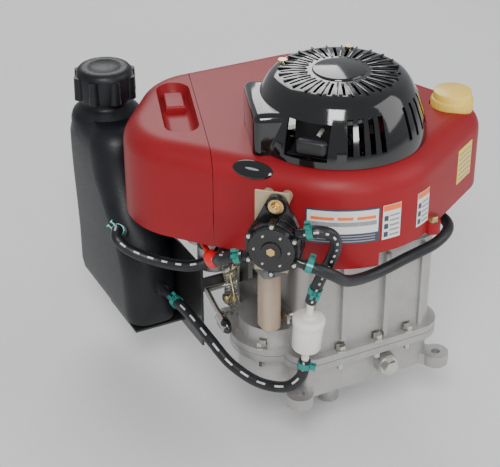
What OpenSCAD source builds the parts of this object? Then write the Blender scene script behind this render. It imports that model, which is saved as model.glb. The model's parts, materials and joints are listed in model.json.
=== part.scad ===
// Small vertical-shaft gasoline engine, overhead valve, recoil start, with remote fuel tank.
// Millimetres, +Z up along the crankshaft, origin on the crank axis at the mounting face.
// -Y is the flat front wall, +Y the cylinder, -X carburettor and tank, +X oil filler and muffler.

/* [Cylinder] */
// cylinder bore
bore_d = 86; // [80:1:90]
// piston stroke
stroke = 62; // [56:1:66]
// connecting rod length between centres
rod_len = 118; // [110:1:125]
// height of the cylinder axis above the mounting face
cyl_z = 122; // [118:1:126]

/* [Output shaft] */
// diameter of the output shaft
shaft_d = 25.4; // [20:0.1:28]
// length of the output shaft below the mounting face
shaft_len = 80; // [60:1:110]
// keyway width
key_w = 6.35; // [4:0.05:8]
// drill size of the tapped hole in the shaft end
tap_d = 9.9; // [6:0.1:12]

/* [Mounting] */
// mounting bolt circle diameter
pcd = 254; // [250:1:260]
// mounting hole diameter
mount_hole_d = 10.4; // [8:0.1:12]

/* [Shroud] */
// shroud wall thickness
wall = 3; // [2:0.5:4]
// height of the shroud's lower edge
shroud_z = 174; // [172:1:178]
// height of the shroud's flat top
shroud_top = 283; // [278:1:288]
// diameter of the black starter cover at its base
cover_d = 196; // [180:2:200]

/* [Fuel] */
// outside diameter of the fuel hoses
hose_d = 12.7; // [10:0.1:14]
// diameter of the fuel filter body
filter_d = 35; // [30:1:40]
// diameter of the tank's filler tower
tower_d = 86; // [80:1:90]
// diameter of the tank cap
cap_d = 68; // [60:1:74]

/* [Oil] */
// diameter of the oil filler cap
oil_cap_d = 48; // [40:1:52]

/* [Hidden] */
$fn = 64;
throw = stroke / 2;
rpin = 31 + rod_len;
crown = rpin + 24;
cam = [54.6, 31.5];
ps = pcd / 2 * 0.70711;
ears = [[ps, ps], [-ps, ps], [ps, -ps], [-ps, -ps]];
cb = [[-116, -46], [-91, 31], [91, -40], [-40, -91], [8, -91], [48, -91], [-40, 97], [34, 97]];
vz = [cyl_z + 21, cyl_z - 21];
pz = [cyl_z + 25, cyl_z - 25];
pl = [[0, 0, 116], [130, 2, 50], [40, 145, 82], [-88, 150, 78], [-122, 98, 84]];
hb = [[46, 46], [-46, 46], [46, -46], [-46, -46]];
filt = [-88, -101, 104];
// hose routes
// a point in the fuel pump's own frame
function dp(x, y, z) = [-110 + x * cos(41.8) + y * sin(41.8), -76.7 - x * sin(41.8) + y * cos(41.8), z + 10];
ra = [dp(33, -31, 232.6), dp(46, -31, 236.4), [-82, -134, 240], [-75, -131, 224], [-77, -122, 200],
  [-83, -111, 170], [-87, -103, 143]];
rb = [[-90, -99, 66], [-94, -98, 44], [-108, -88, 28], [-128, -62, 24], [-146, -30, 34], [-156, 0, 50],
  [-160, 30, 58], [-162, 62, 60], [-165, 84, 60]];
rc = [dp(33, -31, 195.3), dp(45, -31, 192.3), [-80, -134, 192], [-56, -127, 174], [-16, -113, 163],
  [30, -105, 166], [70, -102, 173],
  [98, -84, 176], [108, -50, 172], [106, -10, 160], [94, 8, 150]];
rd = [dp(-33, -31, 195.3), dp(-45, -31, 192.3), [-170, -54, 192], [-158, -26, 174], [-130, 12, 161], [-104, 46, 156]];
lead = [[-61.5, 234.4, 122], [-68, 236, 165], [-50, 222, 190], [40, 180, 190], [60, 112, 205]];
re = [[-214, 122, 147], [-221, 109, 156], [-226, 96, 152], [-214, 86, 139], [-190, 68, 129], [-164, 40, 130],
  [-142, 30, 138], [-122, 40, 144], [-112, 60, 146]];

// ---------- helpers ----------
module rrect(x0, y0, x1, y1, r) {
  translate([x0 + r, y0]) square([x1 - x0 - 2 * r, y1 - y0]);
  translate([x0, y0 + r]) square([x1 - x0, y1 - y0 - 2 * r]);
  for (x = [x0 + r, x1 - r]) for (y = [y0 + r, y1 - r]) translate([x, y]) circle(r);
}
module at_y(x, y, z) { translate([x, y, z]) rotate([-90, 0, 0]) children(); }
module at_x(x, y, z) { translate([x, y, z]) rotate([0, 90, 0]) children(); }
// round bar between two points
module rod(a, b, r) {
  v = b - a;
  h = norm(v);
  translate(a) rotate([0, acos(v[2] / h), atan2(v[1], v[0])]) cylinder(r = r, h = h);
}
// bolt with washer flange, head towards +Z, shank length l below
module bolt(r, l, hr, hh) {
  translate([0, 0, -l]) cylinder(r = r, h = l);
  cylinder(r = hr * 1.25, h = 1.6);
  cylinder(r = hr, h = hh, $fn = 6);
}
// swept tube of radius r through the points
function tang(p, i) = let (a = p[max(i - 1, 0)], b = p[min(i + 1, len(p) - 1)]) (b - a) / norm(b - a);
function cr(a, b, c, d, t) = 0.5 * (2 * b + (c - a) * t + (2 * a - 5 * b + 4 * c - d) * t * t
  + (3 * b - a - 3 * c + d) * t * t * t);
function fine(p, k) = concat([for (i = [0:len(p) - 2]) for (j = [0:k - 1])
  cr(p[max(i - 1, 0)], p[i], p[i + 1], p[min(i + 2, len(p) - 1)], j / k)], [p[len(p) - 1]]);
module hose(p0, r, k = 2, n = 10, f = [0.31, 0.17, 0.93]) {
  p = fine(p0, k);
  m = len(p);
  pts = [for (i = [0:m - 1]) let (t = tang(p, i), u = cross(t, f), a = u / norm(u),
    b = cross(t, a)) for (j = [0:n - 1]) p[i] + r * (cos(j * 360 / n) * a + sin(j * 360 / n) * b)];
  sides = [for (i = [0:m - 2]) for (j = [0:n - 1]) for (q = [0:1]) let (j2 = (j + 1) % n)
    q == 0 ? [i * n + j, i * n + j2, (i + 1) * n + j2] : [i * n + j, (i + 1) * n + j2, (i + 1) * n + j]];
  ends = [[for (j = [0:n - 1]) n - 1 - j], [for (j = [0:n - 1]) (m - 1) * n + j]];
  polyhedron(points = pts, faces = concat(sides, ends), convexity = 6);
}
// gear with n teeth of module m, axis +Z
module gear(n, m, h, br, ph) {
  rp = n * m / 2;
  difference() {
    linear_extrude(h) {
      circle(rp - 1.2 * m);
      for (i = [0:n - 1]) rotate(ph + i * 360 / n)
        polygon([[rp - 1.4 * m, -m * 0.95], [rp, -m * 0.72], [rp + m * 0.9, -m * 0.36],
          [rp + m * 0.9, m * 0.36], [rp, m * 0.72], [rp - 1.4 * m, m * 0.95]]);
    }
    translate([0, 0, -1]) cylinder(r = br, h = h + 2);
  }
}
// plan of the castings: wall outline grown by g
module case_plan(g) {
  rrect(-86 - g, -86 - g, 86 + g, 92 + g, 20 + g);
}
module low_plan(g) {
  case_plan(g);
  translate(cam) circle(50.5 + g);
  translate([-84, -14]) circle(40 + g);
}
// shroud outline moved in by d: the band round five circles, as points
function turn(i) = let (a = pl[i], b = pl[(i + 1) % 5], v = [b[0] - a[0], b[1] - a[1]])
  atan2(v[1], v[0]) - acos((a[2] - b[2]) / norm(v));
function up(a, b) = b < a ? up(a, b + 360) : b;
function plan_pts(d) = [for (i = [0:4]) let (p = pl[(i + 1) % 5], a = turn(i), b = up(a, turn((i + 1) % 5)),
  n = max(2, ceil((b - a) / 7.5))) for (k = [0:n]) let (t = a + (b - a) * k / n)
  [p[0] + (p[2] - d) * cos(t), p[1] + (p[2] - d) * sin(t)]];
module shroud_plan(d) {
  polygon(plan_pts(d));
}
module shroud_solid(d, z0) {
  translate([0, 0, z0]) linear_extrude(258 - d - z0) shroud_plan(d);
  translate([0, 0, 258 - d]) linear_extrude(9) shroud_plan(d + 4);
  translate([0, 0, 267 - d]) linear_extrude(8) shroud_plan(d + 12);
  translate([0, 0, 275 - d]) linear_extrude(shroud_top - 275) shroud_plan(d + 26);
}
// the air cleaner's side of the seam
module seam(g, z0, z1) {
  translate([0, 0, z0]) linear_extrude(z1 - z0)
    polygon([[-400, -300], [-249.7 - g, -300], [-19.4 - g, 400], [-400, 400]]);
}

// ---------- castings ----------
module oil_sump() {
  color([0.66, 0.66, 0.66]) difference() {
    union() {
      difference() {
        union() {
          linear_extrude(44) low_plan(0);
          translate([0, 0, 41]) linear_extrude(8.2) low_plan(10);
        }
        translate([0, 0, 6]) linear_extrude(60) low_plan(-6);
      }
      linear_extrude(14) for (p = ears) {
        translate(p) circle(15);
        rotate(atan2(p[1], p[0])) translate([96, -11]) square([28, 22]);
      }
      cylinder(r = 28, h = 48);
      translate([cam[0], cam[1], 0]) cylinder(r = 14, h = 52);
      translate([50, -31.33, 0]) cylinder(r = 8, h = 54);
      translate([50, -31.33, 0]) cylinder(r = 4, h = 74);
      translate([20, -98, 22]) rotate([-90, 0, 0]) cylinder(r = 13, h = 15);
    }
    for (p = ears) translate([p[0], p[1], -1]) cylinder(d = mount_hole_d, h = 16);
    for (p = cb) translate([p[0], p[1], 30]) cylinder(r = 4.2, h = 30);
    translate([0, 0, -1]) cylinder(r = 16.05, h = 60);
    translate([0, 0, -1]) cylinder(r = 24, h = 9);
    translate([cam[0], cam[1], 34]) cylinder(r = 8.05, h = 30);
    translate([20, -110, 22]) rotate([-90, 0, 0]) cylinder(r = 8.2, h = 23);
  }
}
module crankcase() {
  color([0.70, 0.70, 0.70]) difference() {
    union() {
      difference() {
        union() {
          translate([0, 0, 50]) linear_extrude(8) low_plan(10);
          translate([0, 0, 58]) linear_extrude(114) case_plan(0);
          translate([0, 0, 171]) linear_extrude(11) case_plan(-3);
          translate([0, 0, 58]) linear_extrude(20) low_plan(0);
          translate([-40, -92, 58]) cube([6, 12, 110]);
          translate([14, -92, 58]) cube([6, 12, 110]);
          translate([62, -90, 58]) cube([5, 10, 110]);
          translate([-92, 34, 96]) cube([8, 34, 60]);
        }
        translate([0, 0, 49]) linear_extrude(123) case_plan(-6.5);
        translate([0, 0, 49]) linear_extrude(24) low_plan(-6);
      }
      translate([0, 0, 158]) cylinder(r = 30, h = 32);
      translate([cam[0], cam[1], 156]) cylinder(r = 14, h = 20);
      at_y(0, 60, cyl_z) cylinder(r = 50, h = 30);
      at_y(0, 86, cyl_z) cylinder(r = 54, h = 88);
      for (y = [100:10:160]) translate([-66, y, cyl_z - 58]) cube([132, 3, 116]);
      translate([-66, 167, cyl_z - 58]) cube([132, 7, 116]);
      for (p = hb) at_y(p[0], 90, cyl_z + p[1]) cylinder(r = 8, h = 84);
      for (z = pz) at_y(cam[0], 84, z) cylinder(r = 8.5, h = 90);
    }
    at_y(0, 50, cyl_z) cylinder(r = bore_d / 2 + 4, h = 130);
    for (z = pz) at_y(cam[0], 70, z) cylinder(r = 5.5, h = 110);
    for (p = hb) at_y(p[0], 130, cyl_z + p[1]) cylinder(r = 4.2, h = 60);
    translate([0, 0, 150]) cylinder(r = 17.55, h = 60);
    translate([0, 0, 183]) cylinder(r = 25, h = 10);
    translate([cam[0], cam[1], 150]) cylinder(r = 8.05, h = 20);
    for (p = cb) translate([p[0], p[1], 40]) cylinder(r = 4.2, h = 30);
    for (p = cb) translate([p[0], p[1], 58]) cylinder(r = 7.3, h = 9);
    translate([-60, -60, 100]) rotate([0, -90, 0]) cylinder(r = 5, h = 60);
  }
}
module gaskets() {
  color([0.25, 0.28, 0.3]) {
    difference() {
      translate([0, 0, 49.2]) linear_extrude(0.8) low_plan(9.6);
      translate([0, 0, 48]) linear_extrude(4) low_plan(-6);
      for (p = cb) translate([p[0], p[1], 40]) cylinder(r = 4.2, h = 30);
    }
    difference() {
      translate([-65, 174, cyl_z - 57]) cube([130, 0.8, 114]);
      at_y(0, 170, cyl_z) cylinder(r = bore_d / 2 + 0.2, h = 10);
      for (z = pz) at_y(cam[0], 170, z) cylinder(r = 5.5, h = 10);
      for (p = hb) at_y(p[0], 170, cyl_z + p[1]) cylinder(r = 4.2, h = 10);
    }
  }
}
module case_bolts() {
  color([0.75, 0.75, 0.72]) {
    for (p = cb) translate([p[0], p[1], 58]) bolt(4, 24, 5.6, 7);
    for (p = hb) at_y(p[0], 222, cyl_z + p[1]) bolt(4, 84, 5.6, 7);
    translate([20, -98, 22]) rotate([90, 0, 0]) bolt(8, 10, 9, 8);
  }
}
module cylinder_liner() {
  color([0.4, 0.4, 0.42]) difference() {
    at_y(0, 60, cyl_z) cylinder(r = bore_d / 2 + 4, h = 114);
    at_y(0, 50, cyl_z) cylinder(r = bore_d / 2 + 0.03, h = 130);
  }
}
module cylinder_head() {
  color([0.68, 0.68, 0.68]) translate([27, 240, cyl_z - 36]) cylinder(r = 4, h = 72);
  color([0.68, 0.68, 0.68]) difference() {
    union() {
      translate([-66, 174.8, cyl_z - 58]) cube([132, 9.2, 116]);
      translate([-50, 180, cyl_z - 42]) cube([114, 42, 84]);
      for (y = [190, 199, 208]) translate([-64, y, cyl_z - 56]) cube([128, 3, 112]);
      translate([-60, 214, cyl_z - 54]) cube([134, 8, 108]);
      at_x(-76, 199, vz[0]) cylinder(r = 17, h = 30);
      translate([0, 199, 60]) cylinder(r = 16, h = 30);
      at_y(27, 216, cyl_z) cylinder(r = 8, h = 31);
    }
    at_y(0, 170, cyl_z) cylinder(r = 38, h = 16);
    for (z = vz) at_y(0, 180, z) cylinder(r = 3.06, h = 60);
    at_y(0, 180, vz[0]) cylinder(r = 15, h = 19);
    at_y(0, 180, vz[1]) cylinder(r = 13.5, h = 19);
    at_x(-90, 199, vz[0]) cylinder(r = 12, h = 90);
    translate([0, 199, 50]) cylinder(r = 12, h = vz[1] - 50);
    for (z = pz) at_y(cam[0], 170, z) cylinder(r = 5.5, h = 60);
    for (p = hb) at_y(p[0], 170, cyl_z + p[1]) cylinder(r = 4.2, h = 60);
    translate([-22, 178, cyl_z]) rotate([-90, 0, 35]) cylinder(r = 7.05, h = 80);
    translate([-22, 178, cyl_z]) rotate([-90, 0, 35]) translate([0, 0, 22]) cylinder(r = 13, h = 80);
  }
}
module tank_bracket() {
  color([0.2, 0.2, 0.21]) {
    translate([-139.7, 60, 0.8]) cube([3, 140, 110]);
    translate([-137, 60, 76]) cube([50.6, 3, 18]);
    translate([-89.4, 60, 76]) cube([3, 27, 18]);
    translate([-200, 120, 0.8]) cube([62, 80, 3]);
  }
}
module valve_cover() {
  color([0.18, 0.18, 0.19]) difference() {
    union() {
      at_y(0, 222, 0) linear_extrude(4) rrect(-28, -166, 74, -78, 10);
      at_y(0, 222, 0) linear_extrude(33) rrect(-24, -162, 70, -82, 8);
      at_y(0, 255, 0) linear_extrude(3) rrect(-21, -159, 67, -85, 6);
      at_y(20, 250, cyl_z + 20) cylinder(r = 9, h = 14);
    }
    at_y(0, 220, 0) linear_extrude(34) rrect(-20, -158, 66, -86, 5);
    for (p = hb) at_y(p[0], 221, cyl_z + p[1]) cylinder(r = 7.3, h = 12);
  }
}
module spark_plug() {
  color([0.85, 0.85, 0.83]) translate([-22, 178, cyl_z]) rotate([-90, 0, 35]) {
    translate([0, 0, 1]) cylinder(r = 7, h = 21.4);
    translate([0, 0, 22.4]) cylinder(r = 10.4, h = 8, $fn = 6);
    translate([0, 0, 30.4]) cylinder(r = 6, h = 24);
    translate([0, 0, 54.4]) cylinder(r = 3, h = 6);
  }
}
module plug_lead() {
  color([0.05, 0.05, 0.05]) {
    difference() {
      translate([-22, 178, cyl_z]) rotate([-90, 0, 35]) translate([0, 0, 38]) cylinder(r = 10, h = 34);
      translate([-22, 178, cyl_z]) rotate([-90, 0, 35]) translate([0, 0, 37]) cylinder(r = 6.05, h = 18);
      translate([-22, 178, cyl_z]) rotate([-90, 0, 35]) translate([0, 0, 54]) cylinder(r = 3.05, h = 7);
    }
    difference() {
      union() {
        for (i = [0:len(lead) - 2]) rod(lead[i], lead[i + 1], 3.5);
        for (i = [1:len(lead) - 2]) translate(lead[i]) sphere(3.5);
      }
      rotate(58) translate([107.7, -12.3, 190]) cube([26.6, 24.6, 44]);
    }
  }
}
module oil_seals() {
  color([0.12, 0.1, 0.1]) {
    difference() {
      translate([0, 0, 0.6]) cylinder(r = 24, h = 7.2);
      cylinder(r = 16.08, h = 20);
    }
    difference() {
      translate([0, 0, 183]) cylinder(r = 25, h = 6.6);
      translate([0, 0, 180]) cylinder(r = 17.58, h = 20);
    }
  }
}
// ---------- crank train ----------
module crankshaft() {
  color([0.55, 0.55, 0.57]) difference() {
    union() {
      translate([0, 0, -shaft_len]) cylinder(d = shaft_d, h = shaft_len + 1);
      cylinder(r = 16, h = 72);
      translate([0, 0, 72]) cylinder(r = 24, h = 20);
      for (z = [90, 140]) translate([0, 0, z]) linear_extrude(14) {
        translate([0, throw]) circle(15.4);
        translate([-15.4, -10]) square([30.8, throw + 10]);
        difference() {
          circle(46);
          translate([-60, -6]) square([120, 60]);
        }
        circle(25);
      }
      translate([0, throw, 100]) cylinder(r = 14, h = 44);
      translate([0, 0, 150]) cylinder(r = 24, h = 7);
      translate([0, 0, 154]) cylinder(r = 17.5, h = 46);
      translate([0, 0, 199]) cylinder(r = 14, h = 41);
      translate([0, 0, 239]) cylinder(r = 9, h = 22);
    }
    translate([shaft_d / 2 - 3.4, -key_w / 2, -shaft_len - 1]) cube([6, key_w, 60]);
    translate([0, 0, -shaft_len - 1]) cylinder(d = tap_d, h = 39);
  }
}
module crank_gear() {
  color([0.45, 0.45, 0.47]) translate([0, 0, 56]) gear(28, 1.5, 12, 16.02, 0);
}
module flywheel() {
  color([0.6, 0.6, 0.62]) difference() {
    union() {
      translate([0, 0, 205]) cylinder(r = 94, h = 24);
      translate([0, 0, 200.4]) cylinder(r = 24, h = 38);
    }
    translate([0, 0, 190]) cylinder(r = 14, h = 60);
    translate([0, 0, 211]) difference() {
      cylinder(r = 84, h = 40);
      translate([0, 0, -1]) cylinder(r = 24, h = 50);
    }
    for (a = [0:60:300]) rotate(a) translate([54, 0, 190]) cylinder(r = 12, h = 60);
    rotate(200) translate([88, -14, 204]) cube([10, 28, 12]);
  }
}
module cooling_fan() {
  color([0.1, 0.1, 0.1]) difference() {
    union() {
      translate([0, 0, 229]) cylinder(r = 94, h = 3);
      for (a = [0:20:340]) rotate(a) translate([50, 0, 231]) rotate(-24) cube([40, 2.4, 24]);
    }
    translate([0, 0, 220]) cylinder(r = 24.2, h = 60);
  }
}
module starter_cup() {
  color([0.5, 0.5, 0.5]) difference() {
    union() {
      translate([0, 0, 238.4]) cylinder(r = 34, h = 2.6);
      translate([0, 0, 240]) cylinder(r = 15, h = 14, $fn = 6);
      translate([0, 0, 240]) difference() {
        cylinder(r = 34, h = 36);
        translate([0, 0, -1]) cylinder(r = 31, h = 40);
      }
    }
    translate([0, 0, 230]) cylinder(r = 9, h = 32);
    translate([0, 0, 235]) difference() {
      cylinder(r = 14, h = 5);
      cylinder(r = 9, h = 6);
    }
    for (a = [0:60:300]) rotate(a) translate([28, -6, 252]) cube([10, 12, 14]);
  }
}
module lobe(a, z) {
  translate([cam[0], cam[1], z]) rotate(a) linear_extrude(14) {
    circle(9);
    translate([9, 0]) circle(5.4);
    polygon([[0, 9], [0, -9], [9, -5.4], [9, 5.4]]);
  }
}
module camshaft() {
  color([0.35, 0.35, 0.37]) {
    translate([cam[0], cam[1], 36]) cylinder(r = 8, h = 132);
    lobe(-130, pz[1] - 7);
    lobe(-50, pz[0] - 7);
  }
}
module cam_gear() {
  color([0.78, 0.74, 0.66]) difference() {
    translate([cam[0], cam[1], 56]) gear(56, 1.5, 12, 8.02, 180 / 56);
    for (a = [0:60:300]) translate([cam[0], cam[1], 50]) rotate(a) translate([24, 0, 0]) cylinder(r = 6, h = 30);
  }
}
module governor_gear() {
  color([0.82, 0.8, 0.74]) translate([50, -31.33, 56]) difference() {
    union() {
      gear(28, 1.5, 10, 4.06, 0.286);
      translate([0, 0, 9]) cylinder(r = 10, h = 6);
      for (a = [0, 180]) rotate(a) translate([8, -5, 9]) cube([7, 10, 12]);
    }
    translate([0, 0, -1]) cylinder(r = 4.06, h = 40);
  }
}
module connecting_rod() {
  color([0.72, 0.72, 0.74]) difference() {
    union() {
      translate([0, throw, cyl_z - 12]) cylinder(r = 20.5, h = 24);
      translate([0, rpin, cyl_z - 11]) cylinder(r = 15, h = 22);
      translate([-8, throw + 10, cyl_z - 7]) cube([16, rod_len - 20, 14]);
      translate([-11, throw + 10, cyl_z - 2]) cube([22, rod_len - 22, 4]);
      for (x = [-16, 16]) at_y(x, throw - 12, cyl_z) cylinder(r = 4, h = 24);
    }
    translate([0, throw, cyl_z - 20]) cylinder(r = 14.05, h = 40);
    translate([0, rpin, cyl_z - 20]) cylinder(r = 10.05, h = 40);
  }
}
module piston() {
  color([0.75, 0.75, 0.76]) difference() {
    at_y(0, rpin - 22, cyl_z) cylinder(r = bore_d / 2 - 0.04, h = 46);
    difference() {
      at_y(0, rpin - 23, cyl_z) cylinder(r = bore_d / 2 - 5, h = 39);
      for (s = [-1, 1]) translate([0, rpin, cyl_z + s * 25 - 12]) cylinder(r = 16, h = 24);
      for (s = [-1, 1]) translate([-8, rpin, cyl_z + s * 25 - 12]) cube([16, 20, 24]);
    }
    translate([0, rpin, cyl_z - 36]) cylinder(r = 10, h = 72);
    for (y = [8, 13, 18]) at_y(0, rpin + y, cyl_z) difference() {
      cylinder(r = 50, h = 2);
      cylinder(r = bore_d / 2 - 3, h = 2);
    }
  }
}
module piston_rings() {
  color([0.3, 0.3, 0.32]) for (y = [8, 13, 18]) at_y(0, rpin + y, cyl_z) difference() {
    cylinder(r = bore_d / 2, h = 2);
    translate([0, 0, -1]) cylinder(r = bore_d / 2 - 3, h = 4);
    rotate(y * 20) translate([30, -0.4, -1]) cube([20, 0.8, 4]);
  }
}
module wrist_pin() {
  color([0.6, 0.6, 0.62]) difference() {
    translate([0, rpin, cyl_z - 35]) cylinder(r = 10, h = 70);
    translate([0, rpin, cyl_z - 40]) cylinder(r = 6, h = 80);
  }
}
// ---------- valve train ----------
module valve(z, r) {
  color([0.5, 0.5, 0.52]) {
    at_y(0, 181, z) cylinder(r = r, h = 3);
    at_y(0, 184, z) cylinder(r1 = r, r2 = r - 2.6, h = 1.9);
    at_y(0, 184, z) cylinder(r = 3, h = 51.6);
    at_y(0, 235.6, z) cylinder(r = 2.4, h = 3);
    at_y(0, 233, z) cylinder(r = 11, h = 2);
  }
}
module intake_valve() { valve(vz[0], 16.8); }
module exhaust_valve() { valve(vz[1], 16); }
module valve_springs() {
  color([0.5, 0.5, 0.5]) for (z = vz) at_y(0, 222, z) {
    for (i = [0:3]) translate([0, 0, 0.1 + i * 2.9]) difference() {
      cylinder(r = 10.5, h = 2);
      translate([0, 0, -1]) cylinder(r = 8.3, h = 4);
    }
    difference() {
      translate([7.6, -1.4, 0.1]) cube([3, 2.8, 10.7]);
    }
  }
}
module rocker(z) {
  color([0.45, 0.45, 0.47]) difference() {
    union() {
      translate([-5, 239.8, z - 6]) cube([64.6, 6, 12]);
      translate([27, 240, z - 6]) cylinder(r = 8, h = 12);
    }
    translate([27, 240, z - 10]) cylinder(r = 4.06, h = 20);
  }
}
module intake_rocker() { rocker(cyl_z + 23); }
module exhaust_rocker() { rocker(cyl_z - 23); }
module pushrod(z) {
  color([0.55, 0.55, 0.55]) {
    at_y(cam[0], 47, z) cylinder(r = 9.5, h = 4);
    at_y(cam[0], 50, z) cylinder(r = 5, h = 14);
    at_y(cam[0], 60, z) cylinder(r = 3.4, h = 175.4);
    translate([cam[0], 235.4, z]) sphere(3.4);
  }
}
module intake_pushrod() { pushrod(pz[0]); }
module exhaust_pushrod() { pushrod(pz[1]); }
// ---------- shroud, starter, air cleaner ----------
module blower_housing() {
  color([0.55, 0.1, 0.12]) difference() {
    union() {
      shroud_solid(0, shroud_z);
      translate([148, -3, 240]) cylinder(r = 22, h = 35);
      translate([66, -98, shroud_z + 13]) cylinder(r = 9, h = 14);
    }
    difference() {
      shroud_solid(wall, 150);
      translate([148, -3, 236]) cylinder(r = 22, h = 60);
    }
    seam(-0.2, 100, 400);
    cylinder(r = 84, h = 400);
    translate([148, -3, 100]) cylinder(r = 16.5, h = 300);
    translate([66, -98, 100]) cylinder(r = 4.2, h = 140);
    translate([66, -98, shroud_z + 27]) cylinder(r = 9.5, h = 14);
    translate([148, -3, 275]) cylinder(r = 25.5, h = 30);
    translate([-12, -200, 160]) cube([400, 600, 30]);
    translate([-300, 205, 100]) cube([700, 100, 100]);
  }
}
module housing_bolts() {
  color([0.8, 0.8, 0.78]) {
    translate([66, -98, shroud_z + 27]) bolt(4, 14, 6, 6);
    for (p = [[41.8, 49.8], [-41.8, 49.8]]) translate([p[0], p[1], 351]) cylinder(r = 5, h = 3);
  }
}
module air_cleaner_cover() {
  color([0.55, 0.1, 0.12]) intersection() {
    difference() {
      union() {
        shroud_solid(0, 173);
      }
      shroud_solid(wall, 160);
      translate([-121, 134, 262]) cylinder(r = 12, h = 40);
    }
    difference() {
      seam(0.2, 100, 400);
      cylinder(r = 99.5, h = 400);
    }
  }
}
module air_cleaner_base() {
  color([0.1, 0.1, 0.1]) difference() {
    union() {
      intersection() {
        translate([0, 0, 178]) linear_extrude(4) shroud_plan(wall + 0.6);
        seam(1, 100, 400);
      }
      translate([-150, 110, 181]) cylinder(r = 4, h = 62);
      translate([-118, 104, 160]) cylinder(r = 17, h = 19);
    }
    translate([-118, 104, 150]) cylinder(r = 13, h = 60);
  }
}
module air_filter() {
  color([0.85, 0.8, 0.6]) translate([0, 0, 182.2]) difference() {
    linear_extrude(54) rrect(-186, 56, -106, 156, 22);
    translate([0, 0, -1]) linear_extrude(48) rrect(-170, 72, -126, 140, 10);
    translate([-150, 110, -1]) cylinder(r = 4.4, h = 80);
  }
}
module starter_cover() {
  color([0.04, 0.04, 0.05]) difference() {
    union() {
      translate([0, 0, shroud_top + 0.2]) cylinder(d = cover_d, h = 12);
      translate([0, 0, shroud_top + 12]) cylinder(d1 = cover_d, d2 = cover_d - 22, h = 34);
      translate([0, 0, shroud_top + 46]) cylinder(d1 = cover_d - 22, d2 = cover_d - 42, h = 17);
      translate([0, 0, shroud_top + 60]) cylinder(r = 74, h = 9);
      translate([-102, -30, shroud_top + 0.2]) cube([60, 96, 40]);
    }
    translate([0, 0, shroud_top - 1]) difference() {
      union() {
        cylinder(d = cover_d - 8, h = 16);
        translate([0, 0, 15.9]) cylinder(d1 = cover_d - 10, d2 = cover_d - 34, h = 34);
        translate([0, 0, 49]) cylinder(r = 76, h = 8);
        translate([-97, -25, -1]) cube([56, 86, 37]);
      }
      translate([0, 0, 16]) cylinder(r = 8, h = 60);
    }
    for (i = [0:8]) rotate(-112 + i * 9) translate([60, -2.4, shroud_top + 18]) cube([60, 4.8, 32]);
    for (i = [0:17]) rotate(i * 20) translate([44, -2, 330]) cube([24, 4, 60]);
    rotate(-142) translate([56, -24, shroud_top + 10]) cube([60, 53, 36]);
    for (p = [[41.8, 49.8], [-41.8, 49.8]]) translate([p[0], p[1], 350.9]) cylinder(r = 5.1, h = 40);
  }
}
module starter_pulley() {
  color([0.2, 0.2, 0.22]) difference() {
    union() {
      translate([0, 0, 302]) cylinder(r = 46, h = 3);
      translate([0, 0, 305]) cylinder(r = 36, h = 8);
      translate([0, 0, 313]) cylinder(r = 46, h = 3);
      translate([0, 0, 284]) cylinder(r = 22, h = 19);
    }
    translate([0, 0, 280]) cylinder(r = 8.06, h = 60);
  }
}
module starter_rope() {
  color([0.85, 0.85, 0.8]) {
    translate([0, 0, 306]) difference() {
      cylinder(r = 41, h = 5);
      translate([0, 0, -1]) cylinder(r = 36.1, h = 8);
    }
    rod([-28, -27, 308.5], [-60, -57.8, 308.5], 2.4);
  }
}
module starter_handle() {
  color([0.06, 0.06, 0.06]) rotate(-136.2) {
    rotate([0, 90, 0]) translate([-308.5, 0, 0]) translate([0, 0.6, 83.7]) cylinder(r = 8, h = 12);
    translate([94, -15, 300]) cube([11, 31, 17]);
  }
}
module oil_fill_tube() {
  color([0.6, 0.6, 0.6]) difference() {
    union() {
      translate([148, -3, 170]) cylinder(r = 16, h = 105);
      rod([99, -3, 110.5], [148, -3, 170], 15);
      at_x(86.2, -3, 102) cylinder(r = 22, h = 8);
      translate([148, -3, 170]) sphere(16);
    }
    translate([148, -3, 172]) cylinder(r = 12.5, h = 110);
  }
}
module oil_cap() {
  color([0.92, 0.82, 0.4]) {
    translate([148, -3, 275.2]) cylinder(r = 22, h = 3);
    translate([148, -3, 278]) cylinder(d = oil_cap_d, h = 13.5);
    translate([148, -3, 291]) cylinder(d = oil_cap_d - 5, h = 9);
    translate([148, -3, 262]) cylinder(r = 12.2, h = 14);
    translate([148, -3, 182]) cylinder(r = 2.5, h = 82);
    translate([146.5, -9, 182]) cube([3, 12, 30]);
  }
}
// ---------- fuel system ----------
module dplace() { translate([-110, -76.7, 10]) rotate(-41.8) children(); }
module pump_bracket() {
  color([0.76, 0.66, 0.5]) dplace() {
    translate([-24, -16, 172]) cube([36, 3, 94]);
    for (x = [-16, 4]) translate([x, 11, 250]) rotate([90, 0, 0]) cylinder(r = 6, h = 25);
  }
}
module fuel_pump() {
  color([0.06, 0.06, 0.07]) dplace() difference() {
    union() {
      translate([0, -16.2, 212]) rotate([90, 0, 0]) cylinder(r = 30, h = 12);
      translate([0, -28.4, 212]) rotate([90, 0, 0]) cylinder(r = 27, h = 12);
      translate([-12, -28, 236]) cube([24, 12, 18]);
      translate([0, -16.2, 254]) rotate([90, 0, 0]) cylinder(r = 12, h = 6);
      translate([0, -40, 212]) rotate([90, 0, 0]) cylinder(r = 8, h = 4);
      translate([24, -31, 230]) rotate([0, 74, 0]) cylinder(r = 4.5, h = 22);
      translate([22, -31, 198]) rotate([0, 104, 0]) cylinder(r = 4.5, h = 22);
      translate([-22, -31, 198]) rotate([0, -104, 0]) cylinder(r = 4.5, h = 22);
      for (a = [0:60:300]) translate([22 * cos(a), -39, 212 + 22 * sin(a)]) rotate([90, 0, 0]) cylinder(r = 3, h = 3);
    }
    translate([0, -10, 254]) rotate([90, 0, 0]) cylinder(r = 3.5, h = 20);
  }
}
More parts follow.
